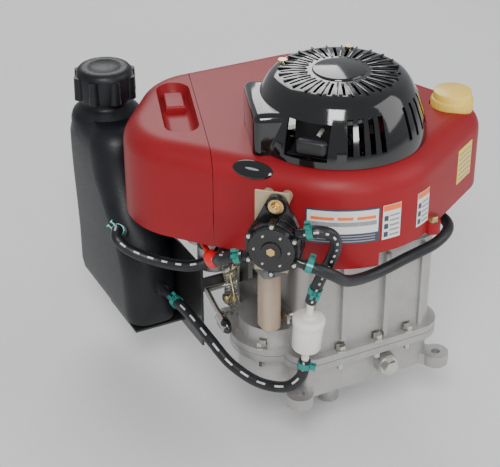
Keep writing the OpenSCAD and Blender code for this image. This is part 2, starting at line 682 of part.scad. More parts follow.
module fuel_filter() {
  color([0.93, 0.92, 0.88]) {
    rod([-90, -99, 84], [-87, -103, 124], filter_d / 2);
    rod([-90, -99, 66], [-87, -103, 143], 4);
  }
}
module ring_at(p, q, r) { rod(p, q, r); }
module supply_hose() {
  color([0.05, 0.05, 0.05]) {
    difference() {
      union() {
        hose(ra, hose_d / 2, 2, 10, [0.2, 0.95, 0.2]);
        hose(rb, hose_d / 2, 2, 10, [0.9, 0.2, -0.3]);
      }
      rod([-90, -99, 40], [-87, -103, 150], 4.1);
      dplace() translate([24, -31, 230]) rotate([0, 74, 0]) cylinder(r = 4.6, h = 24);
      rod([-164, 74, 60], [-168, 112, 60], 4.1);
    }
  }
}
module pulse_hose() {
  color([0.05, 0.05, 0.05]) difference() {
    hose(rc, hose_d / 2, 2, 10);
    dplace() translate([22, -31, 198]) rotate([0, 104, 0]) cylinder(r = 4.6, h = 24);
  }
}
module carburettor_hose() {
  color([0.05, 0.05, 0.05]) difference() {
    hose(rd, hose_d / 2, 2, 10);
    rod([-90, 72.8, 149], [-107.2, 41.84, 157.6], 4.2);
    dplace() translate([-22, -31, 198]) rotate([0, -104, 0]) cylinder(r = 4.6, h = 24);
  }
}
module vent_hose() {
  color([0.05, 0.05, 0.05]) difference() {
    hose(re, hose_d / 2, 2, 10);
    rod([-202, 144.3, 130.4], [-219.8, 111.3, 154.9], 4.3);
  }
}
module clamp(a, b) {
  difference() {
    rod(a, b, hose_d / 2 + 1.8);
    rod(a - 2 * (b - a), b + 2 * (b - a), hose_d / 2 + 0.6);
  }
}
module hose_clamps() {
  color([0.1, 0.5, 0.45]) {
    clamp(dp(36, -31, 233.5), dp(41, -31, 234.9));
    clamp([-84.1, -108.8, 163], [-85.1, -106.8, 156]);
    clamp([-90.4, -98.9, 62], [-91.2, -98.7, 57]);
    clamp(dp(36, -31, 194.5), dp(41, -31, 193.3));
    clamp(dp(-36, -31, 194.5), dp(-41, -31, 193.3));
    clamp([-112, 35.3, 157.6], [-109, 39.3, 157]);
    clamp([-163.6, 76, 60], [-164.1, 80, 60]);
    clamp([-215.6, 119, 149.2], [-217.6, 115.3, 151.9]);
  }
}
module carburettor() {
  color([0.62, 0.62, 0.6]) difference() {
    union() {
      translate([-126, 62, 124]) cube([34, 40, 35.6]);
      translate([-118, 104, 120]) cylinder(r = 17, h = 39.6);
      translate([-112, 82, 96]) cylinder(r = 20, h = 28);
      rod([-108, 118, 143], [-84, 199, 143], 15);
      at_x(-86, 199, vz[0]) cylinder(r = 20, h = 9.8);
      rod([-96, 62, 152], [-106, 44, 157], 4);
    }
    translate([-118, 104, 130]) cylinder(r = 12, h = 60);
    rod([-108, 118, 143], [-86, 192, 143], 11);
    at_x(-100, 199, vz[0]) cylinder(r = 12, h = 40);
    translate([-76.2, 100, 60]) cube([60, 160, 140]);
    translate([-100, 72, 100]) cylinder(r = 2.06, h = 80);
    translate([-118, 72, 110]) cylinder(r = 2.06, h = 80);
  }
}
module choke_shaft() {
  color([0.8, 0.08, 0.08]) {
    translate([-118, 72, 126]) cylinder(r = 2, h = 40);
    translate([-118, 72, 164]) cylinder(r = 4, h = 4);
    translate([-118, 72, 165]) rotate(-136.7) translate([-3, -3, 0]) cube([50, 6, 2]);
    rod([-151, 41, 166], [-150, 22, 158], 3);
    rod([-150, 22, 158], [-149, 6, 150], 8);
  }
}
module throttle_shaft() {
  color([0.75, 0.75, 0.72]) {
    translate([-100, 72, 126]) cylinder(r = 2, h = 44);
    translate([-103, 56, 168]) cube([6, 18, 2]);
  }
}
module governor_lever() {
  color([0.8, 0.78, 0.72]) {
    translate([-66, -60, 100]) rotate([0, -90, 0]) cylinder(r = 4.9, h = 28);
    translate([-94.5, -66, 94]) cube([3, 84, 12]);
    translate([-94.5, 6, 94]) cube([3, 12, 44]);
  }
}
module control_bracket() {
  color([0.74, 0.75, 0.76]) difference() {
    union() {
      translate([-112, 22, 58]) cube([3, 34, 76]);
      translate([-112, 22, 130]) cube([25.4, 11.6, 3]);
      translate([-89.4, 22, 118]) cube([3, 11.6, 15]);
      translate([-112, 28, 58.4]) cube([13.4, 8, 3]);
    }
    translate([-120, 40, 92]) rotate([0, 90, 0]) cylinder(r = 3.06, h = 20);
  }
}
module control_lever() {
  color([0.7, 0.7, 0.68]) {
    translate([-144, 40, 92]) rotate([0, 90, 0]) cylinder(r = 3, h = 36);
    rod([-142, 40, 92], [-142, 6, 78], 3);
    rod([-142, 6, 78], [-142, -14, 70], 6.5);
  }
}
module breather_box() {
  color([0.74, 0.64, 0.54]) difference() {
    union() {
      translate([-118, -60, 84]) cube([22, 26, 74]);
      translate([-121, -63, 158]) cube([30, 34, 10]);
    }
  }
}
module muffler() {
  color([0.38, 0.3, 0.26]) {
    difference() {
      union() {
        translate([82, 118, 62]) linear_extrude(90) rrect(0, 0, 74, 112, 26);
        rod([115, 199, 40], [115, 199, 63], 14);
        rod([0, 199, 40], [115, 199, 40], 14);
        rod([0, 199, 40], [0, 199, 52], 14);
        translate([0, 199, 52]) cylinder(r = 22, h = 7.8);
        for (x = [0, 115]) translate([x, 199, 40]) sphere(14);
        at_x(150, 170, 100) cylinder(r = 12, h = 24);
      }
      translate([0, 199, 40]) cylinder(r = 11, h = 60);
      at_x(152, 170, 100) cylinder(r = 10, h = 60);
    }
  }
}
module tank_up(g) {
  rrect(-211 + g, 180 + g, -160 - g, 304 - g, 18 - g);
  rrect(-200 + g, 226 + g, -128 - g, 304 - g, 18 - g);
}
module fuel_tank() {
  color([0.07, 0.07, 0.08]) difference() {
    union() {
      translate([0, 0, 4]) linear_extrude(106) rrect(-206, 112, -140, 300, 20);
      translate([0, 0, 108]) linear_extrude(42) rrect(-208, 146, -140, 302, 20);
      translate([0, 0, 148]) linear_extrude(84) tank_up(0);
      translate([-168, 262, 230]) cylinder(d1 = tower_d, d2 = 62, h = 8);
      translate([-168, 262, 236]) cylinder(r = 28, h = 38);
      rod([-168, 116, 60], [-165.4, 84, 60], 4);
      rod([-200, 148, 127.6], [-218.6, 113.5, 153.3], 4.2);
    }
    translate([0, 0, 8]) linear_extrude(98) rrect(-202, 116, -144, 296, 16);
    translate([0, 0, 104]) linear_extrude(42) rrect(-204, 150, -144, 298, 16);
    translate([0, 0, 144]) linear_extrude(84) tank_up(4);
    translate([-168, 262, 220]) cylinder(r = 24, h = 70);
  }
}
module tank_cap() {
  color([0.05, 0.05, 0.05]) difference() {
    union() {
      translate([-168, 262, 250]) cylinder(d = cap_d, h = 32);
      translate([-168, 262, 282]) cylinder(d1 = cap_d, d2 = cap_d - 12, h = 7);
      for (a = [0:45:315]) translate([-168, 262, 252]) rotate(a) translate([33, 0, 0]) cylinder(r = 6, h = 28);
    }
    translate([-168, 262, 240]) cylinder(r = 28.2, h = 35);
  }
}
module ignition_coil() {
  color([0.1, 0.1, 0.1]) rotate(58) {
    translate([96, -18, 208]) cube([14, 36, 18]);
    translate([108, -12, 204]) cube([26, 24, 26]);
  }
}
oil_sump();
crankcase();
gaskets();
case_bolts();
cylinder_liner();
cylinder_head();
valve_cover();
spark_plug();
plug_lead();
oil_seals();
crankshaft();
crank_gear();
flywheel();
cooling_fan();
starter_cup();
camshaft();
cam_gear();
governor_gear();
connecting_rod();
piston();
piston_rings();
wrist_pin();
intake_valve();
exhaust_valve();
valve_springs();
intake_rocker();
exhaust_rocker();
intake_pushrod();
exhaust_pushrod();
tank_bracket();
blower_housing();
housing_bolts();
air_cleaner_cover();
air_cleaner_base();
air_filter();
starter_cover();
starter_pulley();
starter_rope();
starter_handle();
oil_fill_tube();
oil_cap();
pump_bracket();
fuel_pump();
fuel_filter();
supply_hose();
pulse_hose();
carburettor_hose();
vent_hose();
hose_clamps();
carburettor();
choke_shaft();
throttle_shaft();
governor_lever();
control_bracket();
control_lever();
breather_box();
muffler();
fuel_tank();
tank_cap();
ignition_coil();
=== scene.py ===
# Small vertical-shaft gasoline engine with recoil starter, carburettor, fuel pump, filter, muffler
# and its own plastic fuel tank. Everything is in metres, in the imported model's frame:
# +Z up along the crankshaft, -Y the flat front wall, -X the carburettor side.
import json
import math

import bmesh
import bpy
from mathutils import Matrix, Vector

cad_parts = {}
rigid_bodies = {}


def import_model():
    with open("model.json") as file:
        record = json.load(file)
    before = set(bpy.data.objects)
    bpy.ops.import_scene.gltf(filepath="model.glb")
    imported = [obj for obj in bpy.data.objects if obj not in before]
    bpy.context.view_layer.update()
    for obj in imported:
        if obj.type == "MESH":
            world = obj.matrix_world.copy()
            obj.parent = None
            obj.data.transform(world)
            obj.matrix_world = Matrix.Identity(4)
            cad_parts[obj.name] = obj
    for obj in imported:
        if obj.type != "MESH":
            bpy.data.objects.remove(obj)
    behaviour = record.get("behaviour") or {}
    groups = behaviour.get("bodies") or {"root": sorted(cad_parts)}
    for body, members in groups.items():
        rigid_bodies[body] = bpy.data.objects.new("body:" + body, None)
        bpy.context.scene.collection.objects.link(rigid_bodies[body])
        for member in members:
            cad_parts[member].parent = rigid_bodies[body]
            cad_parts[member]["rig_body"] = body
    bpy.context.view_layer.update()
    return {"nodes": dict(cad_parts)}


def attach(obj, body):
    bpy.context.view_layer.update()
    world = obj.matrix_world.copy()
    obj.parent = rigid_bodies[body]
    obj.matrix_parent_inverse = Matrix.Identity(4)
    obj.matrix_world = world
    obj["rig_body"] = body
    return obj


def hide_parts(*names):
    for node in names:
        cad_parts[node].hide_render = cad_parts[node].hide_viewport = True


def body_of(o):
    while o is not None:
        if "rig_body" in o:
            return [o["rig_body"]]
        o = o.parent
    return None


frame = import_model()
scene = bpy.context.scene
collection = scene.collection
MM = 0.001


# ------------------------------
# Studio: a camera from the front left and above, a pale floor under the output shaft, and soft
# area lights round a pale sky.
# ------------------------------
camera = bpy.data.objects.new("camera", bpy.data.cameras.new("camera"))
collection.objects.link(camera)
scene.camera = camera
look_at = Vector((-0.085, 0.043, 0.150))
azimuth, elevation, distance = math.radians(-27), math.radians(30.5), 1.6
back = Vector((math.sin(azimuth) * math.cos(elevation), -math.cos(azimuth) * math.cos(elevation),
               math.sin(elevation)))
camera.location = look_at + back * distance
camera.rotation_mode = "QUATERNION"
camera.rotation_quaternion = (-back).to_track_quat("-Z", "Y")
camera.data.lens = 101
camera.data.clip_start, camera.data.clip_end = 0.05, 30

for label, place, size, power in (
    ("key light", (-1.1, -1.7, 2.0), 0.9, 52), ("fill light", (1.8, -1.2, 1.3), 1.6, 18),
    ("rim light", (0.5, 1.9, 1.7), 1.3, 24), ("front strip", (-0.2, -2.2, 0.9), 0.4, 9)):
    lamp = bpy.data.lights.new(label, "AREA")
    lamp.size, lamp.energy = size, power
    lamp_object = bpy.data.objects.new(label, lamp)
    lamp_object.location = place
    lamp_object.rotation_euler = (Vector((0, 0, 0.1)) - Vector(place)).to_track_quat("-Z", "Y").to_euler()
    collection.objects.link(lamp_object)
world = bpy.data.worlds.new("pale sky")
scene.world = world
world.use_nodes = True
world.node_tree.nodes["Background"].inputs["Color"].default_value = (0.86, 0.88, 0.92, 1)
world.node_tree.nodes["Background"].inputs["Strength"].default_value = 0.50


def new_piece(name, body, mesh, slot=None, *replaced):
    piece = bpy.data.objects.new(name, mesh)
    collection.objects.link(piece)
    if body:
        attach(piece, body)
    if replaced:
        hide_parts(*replaced)
    return piece


def shade_smooth(mesh, angle=32):
    for face in mesh.polygons:
        face.use_smooth = True
    mesh.set_sharp_from_angle(angle=math.radians(angle))


def facing(direction):
    return direction.to_track_quat("Z", "Y").to_matrix().to_4x4()


def add_cone(bm, place, radius, top, depth, segments=32):
    bmesh.ops.create_cone(bm, cap_ends=True, segments=segments, radius1=radius, radius2=top, depth=depth,
                          matrix=place)


def mesh_from(name, bm):
    mesh = bpy.data.meshes.new(name)
    bm.to_mesh(mesh)
    bm.free()
    return mesh


def finished(name, bm, finish, body, slot, *replaced, smooth=None):
    mesh = mesh_from(name, bm)
    mesh.materials.append(finish)
    if smooth:
        shade_smooth(mesh, smooth)
    return new_piece(name, body, mesh, slot, *replaced)


def round_edges(bm, edges, offset, segments, **limits):
    bmesh.ops.bevel(bm, geom=edges, offset=offset, segments=segments, profile=0.5, affect="EDGES",
                    material=-1, **limits)


bm = bmesh.new()
bmesh.ops.create_grid(bm, x_segments=1, y_segments=1, size=6, matrix=Matrix.Translation((0, 0, -0.0805)))
floor_mesh = mesh_from("floor", bm)
floor = new_piece("floor", None, floor_mesh)


# Surface group: two colours in soft patches, a finer grain on roughness, and a grain in the normal.
def surface_group():
    group = bpy.data.node_groups.new("surface grain", "ShaderNodeTree")
    for name, kind, value in (("Colour", "NodeSocketColor", (0.5, 0.5, 0.5, 1)),
                              ("Patch colour", "NodeSocketColor", (0.4, 0.4, 0.4, 1)),
                              ("Patch size", "NodeSocketFloat", 20),
                              ("Patch amount", "NodeSocketFloat", 0.5),
                              ("Smooth roughness", "NodeSocketFloat", 0.3),
                              ("Rough roughness", "NodeSocketFloat", 0.5),
                              ("Grain size", "NodeSocketFloat", 600),
                              ("Grain height", "NodeSocketFloat", 0.1)):
        group.interface.new_socket(name, in_out="INPUT", socket_type=kind).default_value = value
    for name, kind in (("Colour", "NodeSocketColor"), ("Roughness", "NodeSocketFloat"),
                       ("Normal", "NodeSocketVector")):
        group.interface.new_socket(name, in_out="OUTPUT", socket_type=kind)
    n, l = group.nodes, group.links
    come, leave = n.new("NodeGroupInput"), n.new("NodeGroupOutput")
    place = n.new("ShaderNodeTexCoord")
    patch = n.new("ShaderNodeTexNoise")
    patch.inputs["Detail"].default_value = 6
    patch.inputs["Roughness"].default_value = 0.65
    l.new(place.outputs["Object"], patch.inputs["Vector"])
    l.new(come.outputs["Patch size"], patch.inputs["Scale"])
    sharpen = n.new("ShaderNodeMapRange")
    sharpen.inputs["From Min"].default_value = 0.38
    sharpen.inputs["From Max"].default_value = 0.68
    l.new(patch.outputs["Fac"], sharpen.inputs["Value"])
    amount = n.new("ShaderNodeMath")
    amount.operation = "MULTIPLY"
    l.new(sharpen.outputs["Result"], amount.inputs[0])
    l.new(come.outputs["Patch amount"], amount.inputs[1])
    mix = n.new("ShaderNodeMix")
    mix.data_type = "RGBA"
    l.new(amount.outputs[0], mix.inputs["Factor"])
    l.new(come.outputs["Colour"], mix.inputs["A"])
    l.new(come.outputs["Patch colour"], mix.inputs["B"])
    grain = n.new("ShaderNodeTexNoise")
    grain.inputs["Detail"].default_value = 4
    l.new(place.outputs["Object"], grain.inputs["Vector"])
    l.new(come.outputs["Grain size"], grain.inputs["Scale"])
    rough = n.new("ShaderNodeMix")
    l.new(grain.outputs["Fac"], rough.inputs["Factor"])
    l.new(come.outputs["Smooth roughness"], rough.inputs["A"])
    l.new(come.outputs["Rough roughness"], rough.inputs["B"])
    bump = n.new("ShaderNodeBump")
    bump.inputs["Distance"].default_value = 0.0006
    l.new(come.outputs["Grain height"], bump.inputs["Strength"])
    l.new(grain.outputs["Fac"], bump.inputs["Height"])
    l.new(mix.outputs["Result"], leave.inputs["Colour"])
    l.new(rough.outputs["Result"], leave.inputs["Roughness"])
    l.new(bump.outputs["Normal"], leave.inputs["Normal"])
    return group


surface = surface_group()


def material(name, colour, patch, patch_size=20, patch_amount=0.5, rough=(0.3, 0.5), grain=(600, 0.1),
             metallic=0.0, coat=0.0, coat_rough=0.05, **extra):
    made = bpy.data.materials.new(name)
    made.use_nodes = True
    made.diffuse_color = (*colour, 1)
    n, l = made.node_tree.nodes, made.node_tree.links
    shader = n["Principled BSDF"]
    node = n.new("ShaderNodeGroup")
    node.node_tree = surface
    node.inputs["Colour"].default_value = (*colour, 1)
    node.inputs["Patch colour"].default_value = (*patch, 1)
    node.inputs["Patch size"].default_value = patch_size
    node.inputs["Patch amount"].default_value = patch_amount
    node.inputs["Smooth roughness"].default_value = rough[0]
    node.inputs["Rough roughness"].default_value = rough[1]
    node.inputs["Grain size"].default_value = grain[0]
    node.inputs["Grain height"].default_value = grain[1]
    l.new(node.outputs["Colour"], shader.inputs["Base Color"])
    l.new(node.outputs["Roughness"], shader.inputs["Roughness"])
    l.new(node.outputs["Normal"], shader.inputs["Normal"])
    shader.inputs["Metallic"].default_value = metallic
    shader.inputs["Coat Weight"].default_value = coat
    shader.inputs["Coat Roughness"].default_value = coat_rough
    for key, value in extra.items():
        shader.inputs[key.replace("_", " ")].default_value = value
    return made


floor_mesh.materials.append(material("pale floor", (0.78, 0.78, 0.77), (0.74, 0.74, 0.73), 3, 0.4,
                                     (0.6, 0.75), (80, 0.02)))


# ------------------------------
# Castings: sump, crankcase with its cylinder, head, carburettor and filler tube are sand-grey
# aluminium with rounded cast edges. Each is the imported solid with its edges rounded.
# ------------------------------
cast_alloy = material("cast aluminium", (0.50, 0.49, 0.48), (0.36, 0.35, 0.34), 26, 0.55, (0.36, 0.62),
                      (420, 0.35), 0.82)
head_alloy = material("head aluminium", (0.42, 0.41, 0.40), (0.24, 0.22, 0.20), 34, 0.7, (0.42, 0.7),
                      (420, 0.4), 0.75)


def edge_bevel(piece, label, width, segments, angle):
    edge = piece.modifiers.new(label, "BEVEL")
    edge.width, edge.segments = width, segments
    edge.limit_method, edge.angle_limit = "ANGLE", math.radians(angle)
    edge.harden_normals = True


def softened(name, node, width, segments, finish, slot):
    bm = bmesh.new()
    bm.from_mesh(frame["nodes"][node].data)
    bmesh.ops.remove_doubles(bm, verts=bm.verts, dist=2e-5)
    bmesh.ops.dissolve_limit(bm, angle_limit=math.radians(1.2), verts=bm.verts, edges=bm.edges)
    body = body_of(frame["nodes"][node])[0]
    piece = finished(name, bm, finish, body, slot, node, smooth=32)
    edge_bevel(piece, "cast edges", width, segments, 38)


softened("crankcase_casting", "crankcase", 0.0024, 3, cast_alloy, "cast_alloy")
softened("sump_casting", "oil_sump", 0.0022, 3, cast_alloy, "cast_alloy")
softened("cylinder_head_casting", "cylinder_head", 0.0008, 2, head_alloy, "cast_alloy")
softened("carburettor_casting", "carburettor", 0.0016, 3, cast_alloy, "cast_alloy")
softened("filler_tube", "oil_fill_tube", 0.001, 2, cast_alloy, "cast_alloy")


# ------------------------------
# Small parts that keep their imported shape: shafts, gears, springs, bolts, gaskets, seals, rope.
# ------------------------------
steel = material("ground steel", (0.55, 0.55, 0.56), (0.42, 0.42, 0.43), 40, 0.4, (0.18, 0.34),
                 (900, 0.05), 1.0)
zinc = material("bright zinc", (0.66, 0.66, 0.62), (0.50, 0.48, 0.40), 60, 0.5, (0.16, 0.34), (700, 0.06),
                1.0)
yellow_zinc = material("yellow zinc", (0.66, 0.55, 0.30), (0.50, 0.50, 0.46), 50, 0.5, (0.2, 0.38),
                       (700, 0.06), 1.0)
iron = material("honed iron", (0.20, 0.20, 0.21), (0.13, 0.13, 0.13), 30, 0.5, (0.3, 0.5), (500, 0.1), 0.9)
paper_gasket = material("gasket paper", (0.10, 0.11, 0.12), (0.05, 0.05, 0.06), 60, 0.5, (0.6, 0.8),
                        (900, 0.1))
black_rubber = material("black rubber", (0.009, 0.009, 0.010), (0.020, 0.020, 0.022), 45, 0.5,
                        (0.34, 0.55), (500, 0.12))
black_moulding = material("black moulding", (0.012, 0.012, 0.014), (0.03, 0.03, 0.032), 40, 0.5,
                          (0.3, 0.45), (800, 0.08))
nylon_gear = material("moulded gear nylon", (0.62, 0.58, 0.46), (0.5, 0.46, 0.36), 50, 0.4, (0.4, 0.55),
                      (700, 0.06))
pleated_paper = material("pleated paper", (0.72, 0.64, 0.40), (0.58, 0.50, 0.30), 60, 0.6, (0.8, 0.95),
                         (900, 0.3))
braided_rope = material("braided rope", (0.66, 0.65, 0.60), (0.42, 0.41, 0.38), 400, 0.7, (0.7, 0.9),
                        (1400, 0.8))
for finish, nodes in ((steel, ("crankshaft", "crank_gear", "camshaft", "wrist_pin", "piston_rings",
                               "intake_valve", "exhaust_valve", "valve_springs", "intake_rocker",
                               "exhaust_rocker", "intake_pushrod", "exhaust_pushrod", "starter_cup")),
                      (iron, ("cylinder_liner",)),
                      (zinc, ("throttle_shaft", "governor_lever", "control_bracket")),
                      (cast_alloy, ("flywheel", "connecting_rod", "piston")), (zinc, ("case_bolts",)),
                      (yellow_zinc, ("housing_bolts",)), (paper_gasket, ("gaskets",)),
                      (black_rubber, ("oil_seals", "plug_lead")),
                      (black_moulding, ("cooling_fan", "air_cleaner_base", "starter_pulley",
                                        "ignition_coil")), (nylon_gear, ("cam_gear", "governor_gear")),
                      (pleated_paper, ("air_filter",)), (braided_rope, ("starter_rope",))):
    for node in nodes:
        mesh = frame["nodes"][node].data
        mesh.materials.clear()
        mesh.materials.append(finish)


# ------------------------------
# Valve cover, spark plug and muffler, behind the engine: satin black pressed steel, a glazed
# insulator, and heat-browned steel.
# ------------------------------
black_paint = material("satin black paint", (0.014, 0.014, 0.015), (0.03, 0.03, 0.03), 30, 0.5,
                       (0.32, 0.5), (500, 0.12), 0.0, 0.3)
glazed = material("glazed insulator", (0.80, 0.79, 0.75), (0.70, 0.68, 0.62), 60, 0.4, (0.12, 0.22),
                  (600, 0.02), 0.0, 0.4)
browned = material("browned muffler steel", (0.16, 0.10, 0.07), (0.30, 0.26, 0.23), 22, 0.7, (0.45, 0.72),
                   (380, 0.3), 0.7)
softened("valve_cover_pressing", "valve_cover", 0.0022, 3, black_paint, "black_paint")
softened("tank_bracket_steel", "tank_bracket", 0.0006, 2, black_paint, "black_paint")
softened("muffler_can", "muffler", 0.004, 4, browned, "muffler_steel")
softened("spark_plug_parts", "spark_plug", 0.0004, 2, glazed, "ceramic_white")


# ------------------------------
# Blower housing and air cleaner cover: one crimson moulding outline with a broad rounded
# shoulder, cut at the seam. Each is a 3 mm shell, open below.
# ------------------------------
crimson = material("crimson moulding", (0.290, 0.010, 0.015), (0.235, 0.009, 0.013), 9, 0.6, (0.38, 0.50),
                   (900, 0.10), 0.0, 0.0, 0.3, Specular_IOR_Level=0.28)
shroud_circles = ((0, 0, 0.116), (0.130, 0.002, 0.050), (0.040, 0.145, 0.082), (-0.088, 0.150, 0.078),
                  (-0.122, 0.098, 0.084))
seam_point, seam_along = Vector((-0.151, 0.0, 0)), Vector((0.075, 0.228, 0)).normalized()
seam_out = Vector((-seam_along.y, seam_along.x, 0))
shroud_top, housing_foot, cover_foot = 0.283, 0.174, 0.173


def hull_round(circles, segments):
    bm = bmesh.new()
    for x, y, z, r in circles:
        bmesh.ops.create_circle(bm, segments=segments, radius=r, matrix=Matrix.Translation((x, y, z)))
    hull = bmesh.ops.convex_hull(bm, input=bm.verts)
    inside = [v for v in hull["geom_interior"] if isinstance(v, bmesh.types.BMVert)]
    bmesh.ops.delete(bm, geom=inside, context="VERTS")
    bmesh.ops.delete(bm, geom=[v for v in bm.verts if not v.link_faces], context="VERTS")
    bmesh.ops.dissolve_limit(bm, angle_limit=math.radians(0.4), verts=bm.verts, edges=bm.edges)
    bmesh.ops.recalc_face_normals(bm, faces=bm.faces)
    return bm


def rim_above(bm, height):
    return [e for e in bm.edges if all(v.co.z > height for v in e.verts)]


def upright(bm, least=0.005):
    return [e for e in bm.edges if abs(e.verts[0].co.z - e.verts[1].co.z) > least]


def outline_block(inset, low, high, shoulder):
    bm = hull_round([(x, y, z, r - inset) for x, y, r in shroud_circles for z in (low, high)], 120)
    if shoulder:
        round_edges(bm, rim_above(bm, high - 1e-5), shoulder, 9, clamp_overlap=True)
    return bm


def as_object(name, bm):
    made = bpy.data.objects.new(name, mesh_from(name, bm))
    collection.objects.link(made)
    return made


def dressed(piece, finish, body, node, smooth, label, width, segments, angle):
    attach(piece, body)
    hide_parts(node)
    piece.data.materials.clear()
    piece.data.materials.append(finish)
    shade_smooth(piece.data, smooth)
    edge_bevel(piece, label, width, segments, angle)


def carve(target, cutter_bm, operation="DIFFERENCE"):
    cutter = as_object("cutter", cutter_bm)
    cut = target.modifiers.new("cut", "BOOLEAN")
    cut.operation, cut.solver, cut.object = operation, "EXACT", cutter
    shaped = bpy.data.meshes.new_from_object(target.evaluated_get(bpy.context.evaluated_depsgraph_get()))
    target.modifiers.remove(cut)
    target.data, old = shaped, target.data
    shaped.name = target.name
    used = cutter.data
    bpy.data.objects.remove(cutter)
    for mesh in (old, used):
        bpy.data.meshes.remove(mesh)


def add_round(bm, x, y, low, high, r, r_top=None, segments=64):
    middle = Matrix.Translation((x, y, (low + high) / 2))
    add_cone(bm, middle, r, r if r_top is None else r_top, high - low, segments)


def add_block(bm, low, high, turn=None):
    size = Vector(high) - Vector(low)
    middle = (Vector(high) + Vector(low)) / 2
    place = Matrix.Translation(middle) @ Matrix.Diagonal((*size, 1))
    bmesh.ops.create_cube(bm, size=1, matrix=(turn @ place) if turn else place)


def keep_side(bm, point, outward):
    found = bmesh.ops.bisect_plane(bm, geom=bm.verts[:] + bm.edges[:] + bm.faces[:], dist=1e-7,
                                   plane_co=point, plane_no=outward, clear_outer=True)
    rim = [e for e in found["geom_cut"] if isinstance(e, bmesh.types.BMEdge)]
    bmesh.ops.holes_fill(bm, edges=rim)


wall, shoulder, seam_half_gap = 0.003, 0.026, 0.0003
inner_shoulder, core_drop = 0.0235, 0.02
filler_x, filler_y = 0.148, -0.003
screw_x, screw_y = 0.066, -0.098
all_y, past_x = (-0.2, 0.4), 0.3
housing_bm = outline_block(0, housing_foot, shroud_top, shoulder)
keep_side(housing_bm, seam_point - seam_out * seam_half_gap, seam_out)
housing = as_object("blower_housing_shell", housing_bm)
carve(housing, outline_block(wall, housing_foot - core_drop, shroud_top - wall, inner_shoulder))
fan_eye = bmesh.new()
add_round(fan_eye, 0, 0, 0.2, 0.4, 0.084, segments=96)
carve(housing, fan_eye)
for low, high in (((-0.012, all_y[0], 0.16), (past_x, all_y[1], 0.190)),
                  ((-past_x, 0.205, 0.10), (past_x, all_y[1], 0.200))):
    step = bmesh.new()
    add_block(step, low, high)
    carve(housing, step)
cap_seat = bmesh.new()
add_round(cap_seat, filler_x, filler_y, 0.2765, 0.3, 0.0255)
carve(housing, cap_seat)
boss = bmesh.new()
add_round(boss, screw_x, screw_y, 0.187, 0.201, 0.009)
carve(housing, boss, "UNION")
holes = bmesh.new()
add_round(holes, filler_x, filler_y, 0.15, 0.3, 0.0165)
add_round(holes, screw_x, screw_y, 0.15, 0.2015, 0.0042)
carve(housing, holes)

# The finger grip is a trough beside the seam with a raised tongue at its back end.
cover_bm = outline_block(0, cover_foot, shroud_top, shoulder)
keep_side(cover_bm, seam_point + seam_out * seam_half_gap, -seam_out)
cover = as_object("air_cleaner_shell", cover_bm)
carve(cover, outline_block(wall, cover_foot - core_drop, shroud_top - wall, inner_shoulder))
grip_front, grip_back = (seam_point + seam_along * run + seam_out * 0.0235 for run in (0.082, 0.176))


def trough(r, r_top, low, high):
    return hull_round([(place.x, place.y, z, radius) for place in (grip_front, grip_back)
                       for radius, z in ((r, low), (r_top, high))], 64)


carve(cover, trough(0.0175, 0.0215, 0.2655, 0.2815), "UNION")
grip_floor = 0.2690
hollow = trough(0.0145, 0.0200, grip_floor, 0.2850)
round_edges(hollow, [e for e in hollow.edges if all(v.co.z < grip_floor + 1e-4 for v in e.verts)], 0.006, 6)
carve(cover, hollow)
tongue = bmesh.new()
along_seam = Matrix.Translation(grip_back) @ Matrix.Rotation(math.atan2(seam_along.y, seam_along.x), 4, "Z")
add_block(tongue, (-0.034, -0.0115, 0.2670), (0.006, 0.0115, 0.2770), along_seam)
round_edges(tongue, rim_above(tongue, 0.276), 0.003, 5)
carve(cover, tongue, "UNION")
for piece, body, node in ((housing, "engine_block", "blower_housing"),
                          (cover, "air_cleaner_cover", "air_cleaner_cover")):
    dressed(piece, crimson, body, node, 30, "moulded edges", 0.0009, 2, 40)


# ------------------------------
# Starter cover: a glossy black moulding over the fan, with cooling slots round the side, ribs
# over the top, a squared wing and a deep recess for the pull handle. Two screws hold it.
# ------------------------------
gloss_black = material("gloss black moulding", (0.004, 0.004, 0.005), (0.008, 0.008, 0.010), 14, 0.5,
                       (0.07, 0.14), (500, 0.03), 0.0, 0.6, 0.05)
cover_base, cover_skin = 0.2832, 0.0032
cover_profile = ((0.0, 0.0695), (0.050, 0.0695), (0.066, 0.0680), (0.0735, 0.0640), (0.0790, 0.0570),
                 (0.0860, 0.0440), (0.0925, 0.0260), (0.0965, 0.0120), (0.0975, 0.0))


def turn_about_z(degrees):
    return Matrix.Rotation(math.radians(degrees), 4, "Z")


def closed_lathe(profile, base, steps=120, centre=(0, 0)):
    bm = bmesh.new()
    made = [bm.verts.new((centre[0] + r, centre[1], base + z)) for r, z in profile]
    edges = [bm.edges.new(pair) for pair in zip(made, made[1:])]
    bmesh.ops.spin(bm, geom=made + edges, cent=(*centre, 0), axis=(0, 0, 1), angle=math.tau, steps=steps,
                   use_merge=True)
    bmesh.ops.remove_doubles(bm, verts=bm.verts, dist=1e-6)
    bmesh.ops.recalc_face_normals(bm, faces=bm.faces)
    bmesh.ops.holes_fill(bm, edges=[e for e in bm.edges if e.is_boundary])
    bmesh.ops.recalc_face_normals(bm, faces=bm.faces)
    return bm


